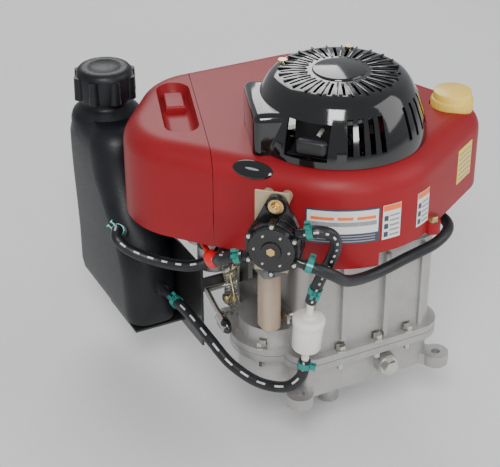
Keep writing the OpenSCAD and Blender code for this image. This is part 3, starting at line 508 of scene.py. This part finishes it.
starter = as_object("starter_cover_moulding", closed_lathe(cover_profile, cover_base))
wing = bmesh.new()
add_block(wing, (0, 0, cover_base), (0.078, 0.096, cover_base + 0.046),
          Matrix.Translation((-0.112, -0.018, 0)) @ turn_about_z(-20))
round_edges(wing, [e for e in wing.edges if max(v.co.z for v in e.verts) > cover_base + 0.02], 0.009, 5)
carve(starter, wing, "UNION")
inner_profile = [(max(r - cover_skin, 0), max(z - cover_skin, -0.001)) for r, z in cover_profile[:-1]]
carve(starter, closed_lathe(inner_profile + [(0.0943, -0.001)], cover_base, 96))
slots = bmesh.new()
for count, first, spacing, half_width, foot in ((4, -112, 7.5, 0.0030, 0.014), (7, -66, 9, 0.0024, 0.016)):
    for k in range(count):
        add_block(slots, (0.070, -half_width, cover_base + foot), (0.110, half_width, cover_base + 0.050),
                  turn_about_z(first + k * spacing))
for k in range(24):
    add_block(slots, (0.036, -0.0016, 0.340), (0.063, 0.0016, 0.360), turn_about_z(k * 15 + 5))
turn_to_handle = turn_about_z(-139)
add_block(slots, (0.060, -0.027, cover_base + 0.007), (0.120, 0.021, cover_base + 0.045), turn_to_handle)
carve(starter, slots)
ribs = bmesh.new()
for k in range(24):
    add_block(ribs, (0.034, -0.0011, 0.3515), (0.066, 0.0011, 0.3535), turn_about_z(k * 15 - 2.5))
add_round(ribs, 0, 0, 0.3515, 0.3545, 0.030, 0.028, 72)
for angle in (-117.5, -160.5):
    add_block(ribs, (0.0800, -0.0050, cover_base + 0.004), (0.0965, 0.0050, cover_base + 0.018),
              turn_about_z(angle))
round_edges(ribs, ribs.edges, 0.0004, 2)
carve(starter, ribs, "UNION")
dressed(starter, gloss_black, "engine_block", "starter_cover", 35, "moulded edges", 0.0007,
        2, 45)

# The recess wall behind the handle, and the pull handle itself: a T grip with rounded ends.
bm = bmesh.new()
add_block(bm, (0.0560, -0.0275, cover_base + 0.006), (0.0585, 0.0215, cover_base + 0.046), turn_to_handle)
add_block(bm, (0.0560, -0.0275, cover_base + 0.0035), (0.0850, 0.0215, cover_base + 0.0060), turn_to_handle)
round_edges(bm, bm.edges, 0.0006, 2)
finished("starter_recess_wall", bm, black_moulding, "engine_block", "gloss_black")

grip_turn = turn_about_z(-136.2)
bm = bmesh.new()
add_block(bm, (0.0935, -0.0155, 0.3000), (0.1050, 0.0165, 0.3165), grip_turn)
round_edges(bm, bm.edges, 0.0045, 5)
neck_turn = Matrix.Rotation(math.radians(90), 4, "Y")
neck_place = grip_turn @ Matrix.Translation((0.0895, 0.0006, 0.3085)) @ neck_turn
add_cone(bm, neck_place, 0.0055, 0.0078, 0.0115, 40)
finished("starter_grip", bm, black_moulding, "starter_handle", "black_plastic", "starter_handle", smooth=40)


# ------------------------------
# Oil filler cap: pale yellow moulding in two steps with a black seal ring, on a dipstick.
# ------------------------------
pale_yellow = material("pale yellow moulding", (0.88, 0.60, 0.09), (0.90, 0.68, 0.18), 30, 0.6,
                       (0.30, 0.42), (900, 0.08), 0.0, 0.1, Subsurface_Weight=0.08)
bm = closed_lathe(((0.0, 0.0248), (0.0195, 0.0248), (0.0212, 0.0240), (0.0219, 0.0225), (0.0222, 0.0165),
                   (0.0232, 0.0160), (0.0238, 0.0145), (0.0240, 0.0022), (0.0234, 0.0010),
                   (0.0122, 0.0008), (0.0122, -0.0130), (0.0026, -0.0134), (0.0026, -0.0920),
                   (0.0, -0.0932)), 0.2752, 96, (filler_x, filler_y))
for k in range(36):
    spoke = Matrix.Translation((filler_x, filler_y, 0)) @ Matrix.Rotation(math.tau * k / 36, 4, "Z")
    add_block(bm, (0.0234, -0.00035, 0.2790), (0.02425, 0.00035, 0.2895), spoke)
finished("oil_cap_moulding", bm, pale_yellow, "oil_cap", "yellow_plastic", "oil_cap", smooth=35)
bm = closed_lathe(((0.0180, 0.0), (0.0226, 0.0), (0.0230, 0.0010), (0.0226, 0.0022), (0.0180, 0.0022)),
                  0.2748, 96, (filler_x, filler_y))
finished("oil_cap_seal", bm, black_rubber, "oil_cap", "black_rubber", smooth=35)


# ------------------------------
# Fuel hoses: black rubber with a broken white print line. Each is swept along its route; the
# print is a thin raised strip on the side that faces out.
# ------------------------------
hose_rubber = material("hose rubber", (0.008, 0.009, 0.011), (0.022, 0.022, 0.026), 55, 0.5, (0.30, 0.50),
                       (420, 0.16))
white_print = material("white print", (0.62, 0.62, 0.60), (0.25, 0.25, 0.25), 260, 0.7, (0.5, 0.7),
                       (900, 0.1))
hose_radius = 0.00635


def smooth_route(points, parts=8):
    route = []
    for i in range(len(points) - 1):
        a, b = points[max(i - 1, 0)], points[i]
        c, d = points[i + 1], points[min(i + 2, len(points) - 1)]
        for k in range(parts):
            t = k / parts
            route.append(0.5 * (2 * b + (c - a) * t + (2 * a - 5 * b + 4 * c - d) * t * t
                                + (3 * b - a - 3 * c + d) * t ** 3))
    route.append(points[-1])
    return route


def swept(name, route, radius, finish, sides=4):
    curve = bpy.data.curves.new(name, "CURVE")
    curve.dimensions = "3D"
    curve.bevel_depth, curve.bevel_resolution, curve.use_fill_caps = radius, sides, True
    line = curve.splines.new("POLY")
    line.points.add(len(route) - 1)
    for point, place in zip(line.points, route):
        point.co = (*place, 1)
    holder = bpy.data.objects.new(name, curve)
    collection.objects.link(holder)
    mesh = bpy.data.meshes.new_from_object(holder.evaluated_get(bpy.context.evaluated_depsgraph_get()))
    bpy.data.objects.remove(holder)
    bpy.data.curves.remove(curve)
    mesh.materials.clear()
    mesh.materials.append(finish)
    for face in mesh.polygons:
        face.use_smooth = True
    return mesh


def hose(name, points, side, replaced, dash, gap):
    route = smooth_route([Vector(p) * MM for p in points])
    mesh = swept(name, route, hose_radius, hose_rubber, 6)
    new_piece(name, "engine_block", mesh, "black_rubber", replaced)
    length, print_bm, run, drawing = 0.0, bmesh.new(), [], True
    for here, after in zip(route, route[1:]):
        along = (after - here).normalized()
        out = (Vector(side) - along * Vector(side).dot(along)).normalized()
        steps = max(1, int((after - here).length / 0.001))
        for s in range(steps):
            spot = here.lerp(after, s / steps) + out * (hose_radius - 0.00005)
            length += (after - here).length / steps
            if drawing:
                run.append((spot, out.cross(along), out))
            if length > (dash if drawing else gap):
                if drawing and len(run) > 2:
                    last = None
                    for place, across, lift in run:
                        pair = [print_bm.verts.new(place + across * half + lift * 0.00012)
                                for half in (-0.0011, 0.0011)]
                        if last:
                            print_bm.faces.new((last[0], last[1], pair[1], pair[0]))
                        last = pair
                run, length, drawing = [], 0.0, not drawing
    bmesh.ops.recalc_face_normals(print_bm, faces=print_bm.faces)
    bmesh.ops.solidify(print_bm, geom=print_bm.faces[:], thickness=0.00012)
    finished(name + "_print", print_bm, white_print, "engine_block", "black_rubber")


hose("hose_pump_to_filter", ((-106.1, -121.8, 242.6), (-96.4, -130.5, 246.4), (-82, -134, 240),
                             (-75, -131, 224), (-77, -122, 200), (-83, -111, 170), (-87, -103, 143)),
     (-0.35, -0.9, 0.3), "supply_hose", dash=0.004, gap=0.004)
hose("hose_filter_to_tank", ((-90, -99, 66), (-94, -98, 44), (-108, -88, 28), (-128, -62, 24),
                             (-146, -30, 34), (-156, 0, 50), (-160, 30, 58), (-162, 62, 60),
                             (-165, 84, 60)), (-0.45, -0.6, 0.65), "supply_hose", dash=0.012, gap=0.010)
hose("hose_pulse_line", ((-106.1, -121.8, 205.3), (-97.1, -129.8, 202.3), (-80, -134, 192),
                         (-56, -127, 174), (-16, -113, 163), (30, -105, 166), (70, -102, 173),
                         (98, -84, 176), (108, -50, 172), (106, -10, 160), (94, 8, 150)),
     (0.1, -0.3, -0.95), "pulse_hose", dash=0.009, gap=0.05)
hose("hose_to_carburettor", ((-155.3, -77.8, 205.3), (-164.2, -69.8, 202.3), (-170, -54, 192),
                             (-158, -26, 174), (-130, 12, 161), (-104, 46, 156)), (0, -0.6, 0.8),
     "carburettor_hose", dash=0.006, gap=0.012)
hose("hose_tank_vent", ((-214, 122, 147), (-221, 109, 156), (-226, 96, 152), (-214, 86, 139),
                        (-190, 68, 129), (-164, 40, 130), (-142, 30, 138), (-122, 40, 144),
                        (-112, 60, 146)), (-0.45, -0.55, 0.7), "vent_hose", dash=0.008, gap=0.009)


# ------------------------------
# Hose clamps: teal spring bands with two squeeze ears, one at each hose end.
# ------------------------------
teal = material("teal spring steel", (0.016, 0.24, 0.20), (0.03, 0.36, 0.31), 60, 0.5, (0.28, 0.42),
                (600, 0.08), 0.35, 0.2)
bm = bmesh.new()
for place, along, ear in (((-101.9, -125.4, 244.2), (3.7, -3.3, 1.4), (0.3, -0.6, 0.8)),
                          ((-84.6, -107.8, 159.5), (-1, 2, -7), (-0.5, -0.85, 0)),
                          ((-90.8, -98.8, 59.5), (-1, 0.2, -6), (0.8, -0.6, 0)),
                          ((-101.9, -125.4, 203.9), (3.7, -3.3, -1.2), (0.5, -0.5, 0.7)),
                          ((-159.3, -74.2, 203.9), (-3.7, 3.3, -1.2), (-0.5, -0.5, 0.7)),
                          ((-110.5, 37.3, 157.3), (3, 4, -0.6), (-0.2, -0.5, 0.85)),
                          ((-163.8, 78, 60), (0.6, -10, 0), (-0.5, 0.1, 0.85)),
                          ((-216.6, 117.2, 150.5), (-2, -3.7, 2.7), (-0.6, -0.2, 0.7))):
    axis = Vector(along).normalized()
    out = (Vector(ear) - axis * Vector(ear).dot(axis)).normalized()
    basis = Matrix((out, axis.cross(out), axis)).transposed().to_4x4()
    here = Matrix.Translation(Vector(place) * MM) @ basis
    before = set(bm.verts)
    ring = [bm.verts.new(v) for v in ((0.0064, 0, -0.0035), (0.0075, 0, -0.0035), (0.0075, 0, 0.0035),
                                      (0.0064, 0, 0.0035))]
    loop = [bm.edges.new((ring[i], ring[(i + 1) % 4])) for i in range(4)]
    bmesh.ops.spin(bm, geom=ring + loop, cent=(0, 0, 0), axis=(0, 0, 1), angle=math.tau, steps=36,
                   use_merge=True)
    for side in (-1, 1):
        add_block(bm, (0.0070, side * 0.0026 - 0.0006, -0.0028), (0.0128, side * 0.0026 + 0.0006, 0.0028))
        add_block(bm, (0.0118, side * 0.0032 - 0.0018, -0.0030), (0.0130, side * 0.0032 + 0.0018, 0.0030))
    bmesh.ops.transform(bm, matrix=here, verts=[v for v in bm.verts if v not in before])
bmesh.ops.remove_doubles(bm, verts=bm.verts, dist=1e-6)
bmesh.ops.recalc_face_normals(bm, faces=bm.faces)
finished("hose_clamp_bands", bm, teal, "engine_block", "teal_clamp", "hose_clamps", smooth=35)


# ------------------------------
# Fuel filter: milky nylon can with a stepped lid and a spigot at each end.
# ------------------------------
milky_nylon = material("milky nylon", (0.80, 0.77, 0.72), (0.68, 0.60, 0.54), 34, 0.5, (0.30, 0.42),
                       (700, 0.05), 0.0, 0.15, Subsurface_Weight=0.3)
glow_depth = milky_nylon.node_tree.nodes["Principled BSDF"].inputs["Subsurface Radius"]
glow_depth.default_value = (0.006, 0.005, 0.004)
low_end, high_end = Vector((-90, -99, 66)) * MM, Vector((-87, -103, 143)) * MM
can_axis = (high_end - low_end).normalized()
can_place = Matrix.Translation(low_end) @ facing(can_axis)
bm = closed_lathe(((0.0, 0.0), (0.0040, 0.0), (0.0045, 0.003), (0.0040, 0.006), (0.0040, 0.0155),
                   (0.0100, 0.0160), (0.0148, 0.0170), (0.0160, 0.0190), (0.0168, 0.0480),
                   (0.0175, 0.0486), (0.0178, 0.0494), (0.0178, 0.0560), (0.0172, 0.0570),
                   (0.0150, 0.0584), (0.0090, 0.0590), (0.0080, 0.0610), (0.0040, 0.0620),
                   (0.0040, 0.0710), (0.0045, 0.0740), (0.0040, 0.0770), (0.0, 0.0770)), 0, 72)
bmesh.ops.transform(bm, matrix=can_place, verts=bm.verts)
finished("fuel_filter_can", bm, milky_nylon, "engine_block", "nylon_white", "fuel_filter", smooth=40)


# ------------------------------
# Fuel pump: a black pulse pump on a tan steel plate: round body in two halves, an ear bolted
# at the top, small screws round the rim, a brass plug and three spigots.
# ------------------------------
tan_steel = material("tan plated steel", (0.46, 0.36, 0.22), (0.56, 0.46, 0.32), 28, 0.6, (0.34, 0.5),
                     (500, 0.12), 0.5)
pump_black = material("pump black", (0.005, 0.005, 0.006), (0.012, 0.012, 0.014), 60, 0.5, (0.20, 0.36),
                      (700, 0.10), 0.0, 0.25)
brass = material("brass", (0.72, 0.50, 0.22), (0.6, 0.38, 0.16), 60, 0.5, (0.22, 0.36), (700, 0.06), 1.0)
pump_place = Matrix.Translation((-0.110, -0.0767, 0.010)) @ Matrix.Rotation(math.radians(-41.8), 4, "Z")
lay_flat = Matrix.Rotation(math.radians(90), 4, "X")
pump_mid = Matrix.Translation((0, 0, 0.212))


def pump_disc(bm, x, z, start, depth, radius, top=None, segments=48):
    place = pump_place @ Matrix.Translation((x, -start - depth / 2, z)) @ lay_flat
    add_cone(bm, place, radius, radius if top is None else top, depth, segments)


bm = bmesh.new()
pump_disc(bm, 0, 0.212, 0.0162, 0.0110, 0.0300, segments=72)
pump_disc(bm, 0, 0.212, 0.0280, 0.0070, 0.0290, segments=72)
pump_disc(bm, 0, 0.212, 0.0350, 0.0060, 0.0265, 0.0245, 72)
pump_disc(bm, 0, 0.212, 0.0410, 0.0022, 0.0110, 0.0100)
pump_disc(bm, 0, 0.254, 0.0162, 0.0065, 0.0115)
corner = bmesh.new()
for x, z, r in ((0, 0.254, 0.0115), (-0.014, 0.228, 0.010), (0.014, 0.228, 0.010)):
    for y in (-0.0162, -0.0227):
        bmesh.ops.create_circle(corner, segments=32, radius=r,
                                matrix=Matrix.Translation((x, y, z)) @ lay_flat)
bmesh.ops.convex_hull(corner, input=corner.verts)
bmesh.ops.delete(corner, geom=[v for v in corner.verts if not v.link_faces], context="VERTS")
bmesh.ops.transform(corner, matrix=pump_place, verts=corner.verts)
ear_mesh = mesh_from("ear", corner)
bm.from_mesh(ear_mesh)
bpy.data.meshes.remove(ear_mesh)
for a, b in (((24, -31, 230), (46, -31, 236.4)), ((22, -31, 198), (43.4, -31, 192.6)),
             ((-22, -31, 198), (-43.4, -31, 192.6))):
    start, end = Vector(a) * MM, Vector(b) * MM
    place = pump_place @ Matrix.Translation((start + end) / 2) @ facing(end - start)
    add_cone(bm, place, 0.0060, 0.0044, (end - start).length)
for k in range(6):
    angle = math.tau * (k + 0.5) / 6
    add_block(bm, (0.0250, -0.0405, -0.0035), (0.0310, -0.0170, 0.0035),
              pump_place @ pump_mid @ Matrix.Rotation(angle, 4, "Y"))
pump_piece = finished("fuel_pump_body", bm, pump_black, "engine_block", "black_plastic", "fuel_pump",
                      smooth=35)
edge_bevel(pump_piece, "moulded edges", 0.0008, 3, 35)

bm = bmesh.new()
for k in range(6):
    angle = math.tau * (k + 0.5) / 6
    x, z = 0.0278 * math.cos(angle), 0.212 - 0.0278 * math.sin(angle)
    pump_disc(bm, x, z, 0.0405, 0.0016, 0.0026, 0.0020, 24)
for k in range(6):
    angle = math.tau * k / 6
    pump_disc(bm, 0.0185 * math.cos(angle), 0.212 - 0.0185 * math.sin(angle), 0.0408, 0.0012, 0.0018,
              0.0012, 20)
finished("fuel_pump_screws", bm, zinc, "engine_block", "zinc_fastener", smooth=35)
bm = bmesh.new()
pump_disc(bm, 0, 0.212, 0.0430, 0.0012, 0.0052, 0.0048, 6)
pump_disc(bm, 0, 0.254, 0.0226, 0.0012, 0.0086, 0.0082, 40)
pump_disc(bm, 0, 0.254, 0.0238, 0.0040, 0.0056, 0.0052, 6)
pump_disc(bm, 0, 0.254, 0.0278, 0.0024, 0.0030, 0.0026, 24)
finished("fuel_pump_bolt", bm, brass, "engine_block", "zinc_fastener", smooth=30)
softened("pump_plate", "pump_bracket", 0.0007, 2, tan_steel, "tan_paint")


# ------------------------------
# Fuel tank: matt black rotomoulded plastic, a low body with soft corners and a filler tower,
# and a screw cap with eight broad grips. It hangs on a steel bracket beside the engine.
# ------------------------------
tank_black = material("rotomoulded black", (0.005, 0.006, 0.008), (0.014, 0.016, 0.020), 16, 0.7,
                      (0.34, 0.50), (320, 0.28), Specular_IOR_Level=0.35)
tank_stations = ((0.004, -0.196, 0.124, -0.150, 0.290, 0.014),
                 (0.010, -0.2035, 0.1155, -0.1425, 0.2975, 0.022),
                 (0.022, -0.206, 0.112, -0.140, 0.300, 0.026),
                 (0.070, -0.2065, 0.114, -0.140, 0.301, 0.028),
                 (0.108, -0.208, 0.124, -0.140, 0.302, 0.030),
                 (0.150, -0.210, 0.152, -0.1395, 0.303, 0.032),
                 (0.178, -0.211, 0.172, -0.1390, 0.304, 0.034),
                 (0.206, -0.211, 0.180, -0.1385, 0.304, 0.034),
                 (0.219, -0.2085, 0.184, -0.1400, 0.3015, 0.033),
                 (0.228, -0.2030, 0.190, -0.1430, 0.2960, 0.0285),
                 (0.2335, -0.1950, 0.200, -0.1480, 0.2880, 0.0215))
bm = bmesh.new()
rings = []
for z, x0, y0, x1, y1, r in tank_stations:
    slice_bm = bmesh.new()
    add_block(slice_bm, (x0, y0, z), (x1, y1, z + 0.01))
    round_edges(slice_bm, upright(slice_bm), r, 10)
    bmesh.ops.delete(slice_bm, geom=[v for v in slice_bm.verts if v.co.z > z + 0.005], context="VERTS")
    bmesh.ops.delete(slice_bm, geom=slice_bm.faces[:], context="FACES_ONLY")
    slice_mesh = mesh_from("tank_slice", slice_bm)
    before = set(bm.edges)
    bm.from_mesh(slice_mesh)
    bpy.data.meshes.remove(slice_mesh)
    rings.append([e for e in bm.edges if e not in before])
for lower, upper in zip(rings, rings[1:]):
    bmesh.ops.bridge_loops(bm, edges=lower + upper)
bmesh.ops.holes_fill(bm, edges=[e for e in bm.edges if e.is_boundary])
bmesh.ops.recalc_face_normals(bm, faces=bm.faces)
neck = (-0.168, 0.262)
tank = as_object("fuel_tank_moulding", bm)
carve(tank, closed_lathe(((0.0, 0.2), (0.0430, 0.2), (0.0428, 0.2240), (0.0420, 0.2280), (0.0400, 0.2330),
                          (0.0330, 0.2390), (0.0312, 0.2405), (0.0290, 0.2420), (0.0280, 0.2440),
                          (0.0280, 0.2735), (0.0, 0.2735)), 0, 96, neck), "UNION")
dressed(tank, tank_black, "engine_block", "fuel_tank", 34, "soft edges", 0.0015, 3, 40)

bm = bmesh.new()
for a, b, r in (((-168.3, 116, 60), (-165.4, 84, 60), 0.0044),
                ((-203, 142.5, 131.8), (-218.6, 113.5, 153.3), 0.0044)):
    start, end = Vector(a) * MM, Vector(b) * MM
    turn = facing(end - start)
    add_cone(bm, Matrix.Translation(start.lerp(end, 0.16)) @ turn, r * 1.9, r * 1.7, 0.007)
    add_cone(bm, Matrix.Translation((start + end) / 2) @ turn, r, r, (end - start).length)
finished("tank_spigots", bm, black_moulding, "engine_block", "black_plastic", smooth=35)

cap_turn = Matrix.Translation((*neck, 0))
cap_bm = closed_lathe(((0.0, 0.0385), (0.0250, 0.0385), (0.0300, 0.0372), (0.0325, 0.0345),
                       (0.0338, 0.0300), (0.0338, 0.0030), (0.0330, 0.0), (0.0, 0.0)), 0.250, 96, neck)
tank_cap = as_object("tank_cap_moulding", cap_bm)
lobes = bmesh.new()
for k in range(8):
    lobe = Matrix.Rotation(math.radians(45 * k), 4, "Z") @ Matrix.Translation((0.0325, 0, 0))
    add_cone(lobes, cap_turn @ lobe @ Matrix.Translation((0, 0, 0.266)), 0.0066, 0.0060, 0.028, 40)
carve(tank_cap, lobes, "UNION")
under = bmesh.new()
add_round(under, *neck, 0.240, 0.275, 0.0284)
carve(tank_cap, under)
dish = bmesh.new()
bmesh.ops.create_uvsphere(dish, u_segments=48, v_segments=24, radius=0.050,
                          matrix=cap_turn @ Matrix.Translation((0, 0, 0.3340)))
carve(tank_cap, dish)
dressed(tank_cap, tank_black, "tank_cap", "tank_cap", 34, "soft edges", 0.0018, 4, 34)


# ------------------------------
# Breather box: a tan painted column with rounded sides under a dark grey cast cap.
# ------------------------------
tan_paint = material("tan paint", (0.46, 0.35, 0.26), (0.36, 0.27, 0.20), 24, 0.6, (0.36, 0.52),
                     (420, 0.14), 0.1, 0.1)
grey_cast = material("dark grey casting", (0.22, 0.22, 0.22), (0.14, 0.14, 0.14), 40, 0.6, (0.4, 0.6),
                     (420, 0.3), 0.6)
bm = bmesh.new()
add_block(bm, (-0.118, -0.060, 0.084), (-0.096, -0.034, 0.158))
round_edges(bm, upright(bm, 0.05), 0.008, 6)
low_rim = [e for e in bm.edges if all(v.co.z < 0.0841 for v in e.verts)]
round_edges(bm, low_rim, 0.003, 4)
finished("breather_column", bm, tan_paint, "engine_block", "tan_paint", "breather_box", smooth=40)
bm = bmesh.new()
add_block(bm, (-0.121, -0.063, 0.157), (-0.091, -0.029, 0.168))
round_edges(bm, upright(bm), 0.006, 5)
round_edges(bm, rim_above(bm, 0.1679), 0.0025, 4)
finished("breather_top", bm, grey_cast, "engine_block", "cast_alloy", smooth=40)


# ------------------------------
# Controls: the red choke knob on its arm, the black teardrop speed knob, and the zinc links and
# return springs between the governor arm, bracket and throttle.
# ------------------------------
signal_red = material("red knob moulding", (0.72, 0.012, 0.014), (0.5, 0.01, 0.012), 50, 0.4, (0.18, 0.3),
                      (700, 0.05), 0.0, 0.3)
bm = closed_lathe(((0.0, 0.0100), (0.0050, 0.0095), (0.0078, 0.0070), (0.0088, 0.0030), (0.0088, -0.0030),
                   (0.0078, -0.0070), (0.0050, -0.0095), (0.0, -0.0100)), 0, 40)
knob_turn = Matrix.Translation((-0.1492, 0.0100, 0.1520)) @ facing(Vector((1, -16, -8)))
bmesh.ops.transform(bm, matrix=knob_turn, verts=bm.verts)
choke_turn = Matrix.Translation((-0.118, 0.072, 0)) @ Matrix.Rotation(math.radians(-136.7), 4, "Z")
add_block(bm, (-0.003, -0.003, 0.1650), (0.047, 0.003, 0.1670), choke_turn)
for low, high, r in ((0.126, 0.166, 0.002), (0.164, 0.168, 0.004)):
    add_round(bm, -0.118, 0.072, low, high, r, segments=24)
start, end = Vector((-151, 41, 166)) * MM, Vector((-150, 22, 158)) * MM
add_cone(bm, Matrix.Translation(start.lerp(end, 0.55)) @ facing(end - start), 0.0026, 0.0034,
         (end - start).length * 1.3, 24)
finished("choke_knob", bm, signal_red, "choke", "red_plastic", "choke_shaft", smooth=40)

bm = bmesh.new()
bmesh.ops.create_uvsphere(bm, u_segments=40, v_segments=20, radius=0.0085)
for v in bm.verts:
    v.co.z *= 1.45
    pinch = 1 - 0.45 * max(0.0, v.co.z) / 0.0123
    v.co.x *= 0.75 * pinch
    v.co.y *= pinch
tear = Vector((-142, 6, 78)) - Vector((-142, -14, 70))
bmesh.ops.transform(bm, matrix=Matrix.Translation((-0.1420, -0.0070, 0.0728)) @ facing(tear),
                    verts=bm.verts)
finished("speed_knob", bm, gloss_black, "control_lever", "gloss_black", smooth=60)
softened("speed_lever", "control_lever", 0.0006, 2, zinc, "zinc_plate")


def coil(name, start, end, radius, wire, turns):
    start, end = Vector(start) * MM, Vector(end) * MM
    axis = (end - start).normalized()
    side = axis.orthogonal().normalized()
    other = axis.cross(side)
    count = turns * 14
    path = [start] + [start.lerp(end, 0.12 + 0.76 * k / count)
                      + (side * math.cos(math.tau * k / 14) + other * math.sin(math.tau * k / 14)) * radius
                      for k in range(count + 1)] + [end]
    new_piece(name, "engine_block", swept(name, path, wire, zinc, 2), "zinc_plate")


coil("governor_return_spring", (-114, 18, 132), (-116, 50, 104), 0.0032, 0.00055, 13)
coil("throttle_spring", (-117, 30, 84), (-116, 52, 118), 0.0028, 0.0005, 11)
for name, points, wire in (("governor_link_rod",
                            ((-103, 12, 137), (-110, 30, 142), (-112, 46, 150), (-104, 58, 166),
                             (-100, 60, 169)), 0.0011),
                           ("choke_link_rod", ((-114, 30, 128), (-122, 20, 120), (-124, 8, 104),
                                               (-122, 6, 90)), 0.0010)):
    route = smooth_route([Vector(p) * MM for p in points], 6)
    new_piece(name, "engine_block", swept(name, route, wire, yellow_zinc, 2), "zinc_plate")
bm = bmesh.new()
for x, y, z, r, h in ((-114, 30, 122, 0.0050, 0.004), (-114, 46, 100, 0.0055, 0.005),
                      (-114, 30, 78, 0.0045, 0.004), (-114, 50, 66, 0.0045, 0.004)):
    place = Matrix.Translation(Vector((x, y, z)) * MM) @ Matrix.Rotation(math.radians(-90), 4, "Y")
    add_cone(bm, place, r, r * 0.94, h, 6)
    add_cone(bm, place, r * 1.4, r * 1.4, 0.0012)
finished("control_screws", bm, yellow_zinc, "engine_block", "zinc_fastener")


# ------------------------------
# Labels: thin printed plates that follow the housing's front wall. They carry plain bars and
# blocks of colour only, with no words. A dark oval badge sits on the shoulder.
# ------------------------------
front_wall_radius = 0.116


def wall_plate(name, angles, low, high, lift, finish):
    bm = bmesh.new()
    steps = 24
    rows = []
    for k in range(steps + 1):
        angle = math.radians(angles[0] + (angles[1] - angles[0]) * k / steps)
        out = Vector((math.cos(angle), math.sin(angle), 0))
        rows.append([bm.verts.new(Vector((0, 0, z)) + out * (front_wall_radius + lift))
                     for z in (low, high)])
    for a, b in zip(rows, rows[1:]):
        bm.faces.new((a[0], b[0], b[1], a[1]))
    bmesh.ops.recalc_face_normals(bm, faces=bm.faces)
    bmesh.ops.solidify(bm, geom=bm.faces[:], thickness=-0.0002)
    finished(name, bm, finish, "engine_block", "red_shroud")


def printed(name, ink, worn, scale=60, mix=0.4):
    return material(name, ink, worn, scale, mix, (0.3, 0.4), (600, 0.02), 0.0, 0.2)


label_white = printed("label white", (0.72, 0.72, 0.70), (0.66, 0.66, 0.64))
label_dark = printed("label dark", (0.035, 0.045, 0.075), (0.05, 0.06, 0.09))
label_grey = printed("label grey", (0.24, 0.25, 0.27), (0.34, 0.35, 0.37), 300, 0.8)
label_orange = printed("label orange", (0.90, 0.16, 0.02), (0.84, 0.13, 0.02))
label_yellow = printed("label yellow", (0.86, 0.60, 0.05), (0.80, 0.54, 0.04))
wall_plate("label_main_border", (-136, -96.5), 0.2055, 0.2465, 0.0003, label_dark)
wall_plate("label_main_field", (-135, -97.5), 0.2175, 0.2445, 0.0006, label_white)
wall_plate("label_main_band", (-134, -98.5), 0.2265, 0.2315, 0.0008, label_grey)
for k, (start, end) in enumerate(((-133, -121), (-119, -111), (-109, -99))):
    wall_plate("label_main_bar_%d" % k, (start, end), 0.2340, 0.2375, 0.0008, label_orange)
for k in range(3):
    wall_plate("label_main_line_%d" % k, (-133.5, -99), 0.2075 + k * 0.0032, 0.2087 + k * 0.0032, 0.0006,
               label_grey)
for side, (start, end) in (("left", (-95, -84)), ("right", (-72, -61))):
    wall_plate("label_" + side + "_field", (start, end), 0.2055, 0.2465, 0.0003, label_white)
    wall_plate("label_" + side + "_head", (start + 0.3, end - 0.3), 0.2395, 0.2460, 0.0006, label_orange)
    for k in range(5):
        wall_plate("label_%s_line_%d" % (side, k), (start + 4.2, end - 1), 0.2090 + k * 0.0058,
                   0.2110 + k * 0.0058, 0.0006, label_grey)
    for k in range(3):
        wall_plate("label_%s_block_%d" % (side, k), (start + 0.9, start + 3.3), 0.2085 + k * 0.0096,
                   0.2145 + k * 0.0096, 0.0006, label_dark)
wall_turn = Matrix.Translation((0.060, -0.0990, 0)) @ Matrix.Rotation(math.radians(31.4), 4, "Z")
for name, finish, parts in (("label_side_field", label_yellow, ((0.069, 0.105, 0.2140, 0.2560, 0.0),)),
                            ("label_side_lines", label_grey,
                             tuple((0.072, 0.102, 0.2175 + k * 0.0062, 0.2192 + k * 0.0062, 0.0003)
                                   for k in range(6)))):
    bm = bmesh.new()
    for x0, x1, z0, z1, lift in parts:
        add_block(bm, (x0, -0.0005 - lift, z0), (x1, 0.0002, z1), wall_turn)
    finished(name, bm, finish, "engine_block", "red_shroud")
badge_normal = Vector((-0.78 * 0.73, -0.625 * 0.73, 0.68)).normalized()
badge_along = Vector((0.625, -0.78, 0))
badge_across = badge_normal.cross(badge_along)
badge_basis = Matrix((badge_along, badge_across, badge_normal)).transposed().to_4x4()
badge_turn = Matrix.Translation((-0.1185, -0.0288,
                                 0.2743)) @ badge_basis
for name, finish, size in (("badge_field", gloss_black, (0.0230, 0.0100, 0.0026)),
                           ("badge_stripe", label_grey, (0.0130, 0.0022, 0.0031))):
    bm = bmesh.new()
    bmesh.ops.create_uvsphere(bm, u_segments=48, v_segments=16, radius=1,
                              matrix=badge_turn @ Matrix.Diagonal((*size, 1)))
    finished(name, bm, finish, "engine_block", "red_shroud", smooth=32)
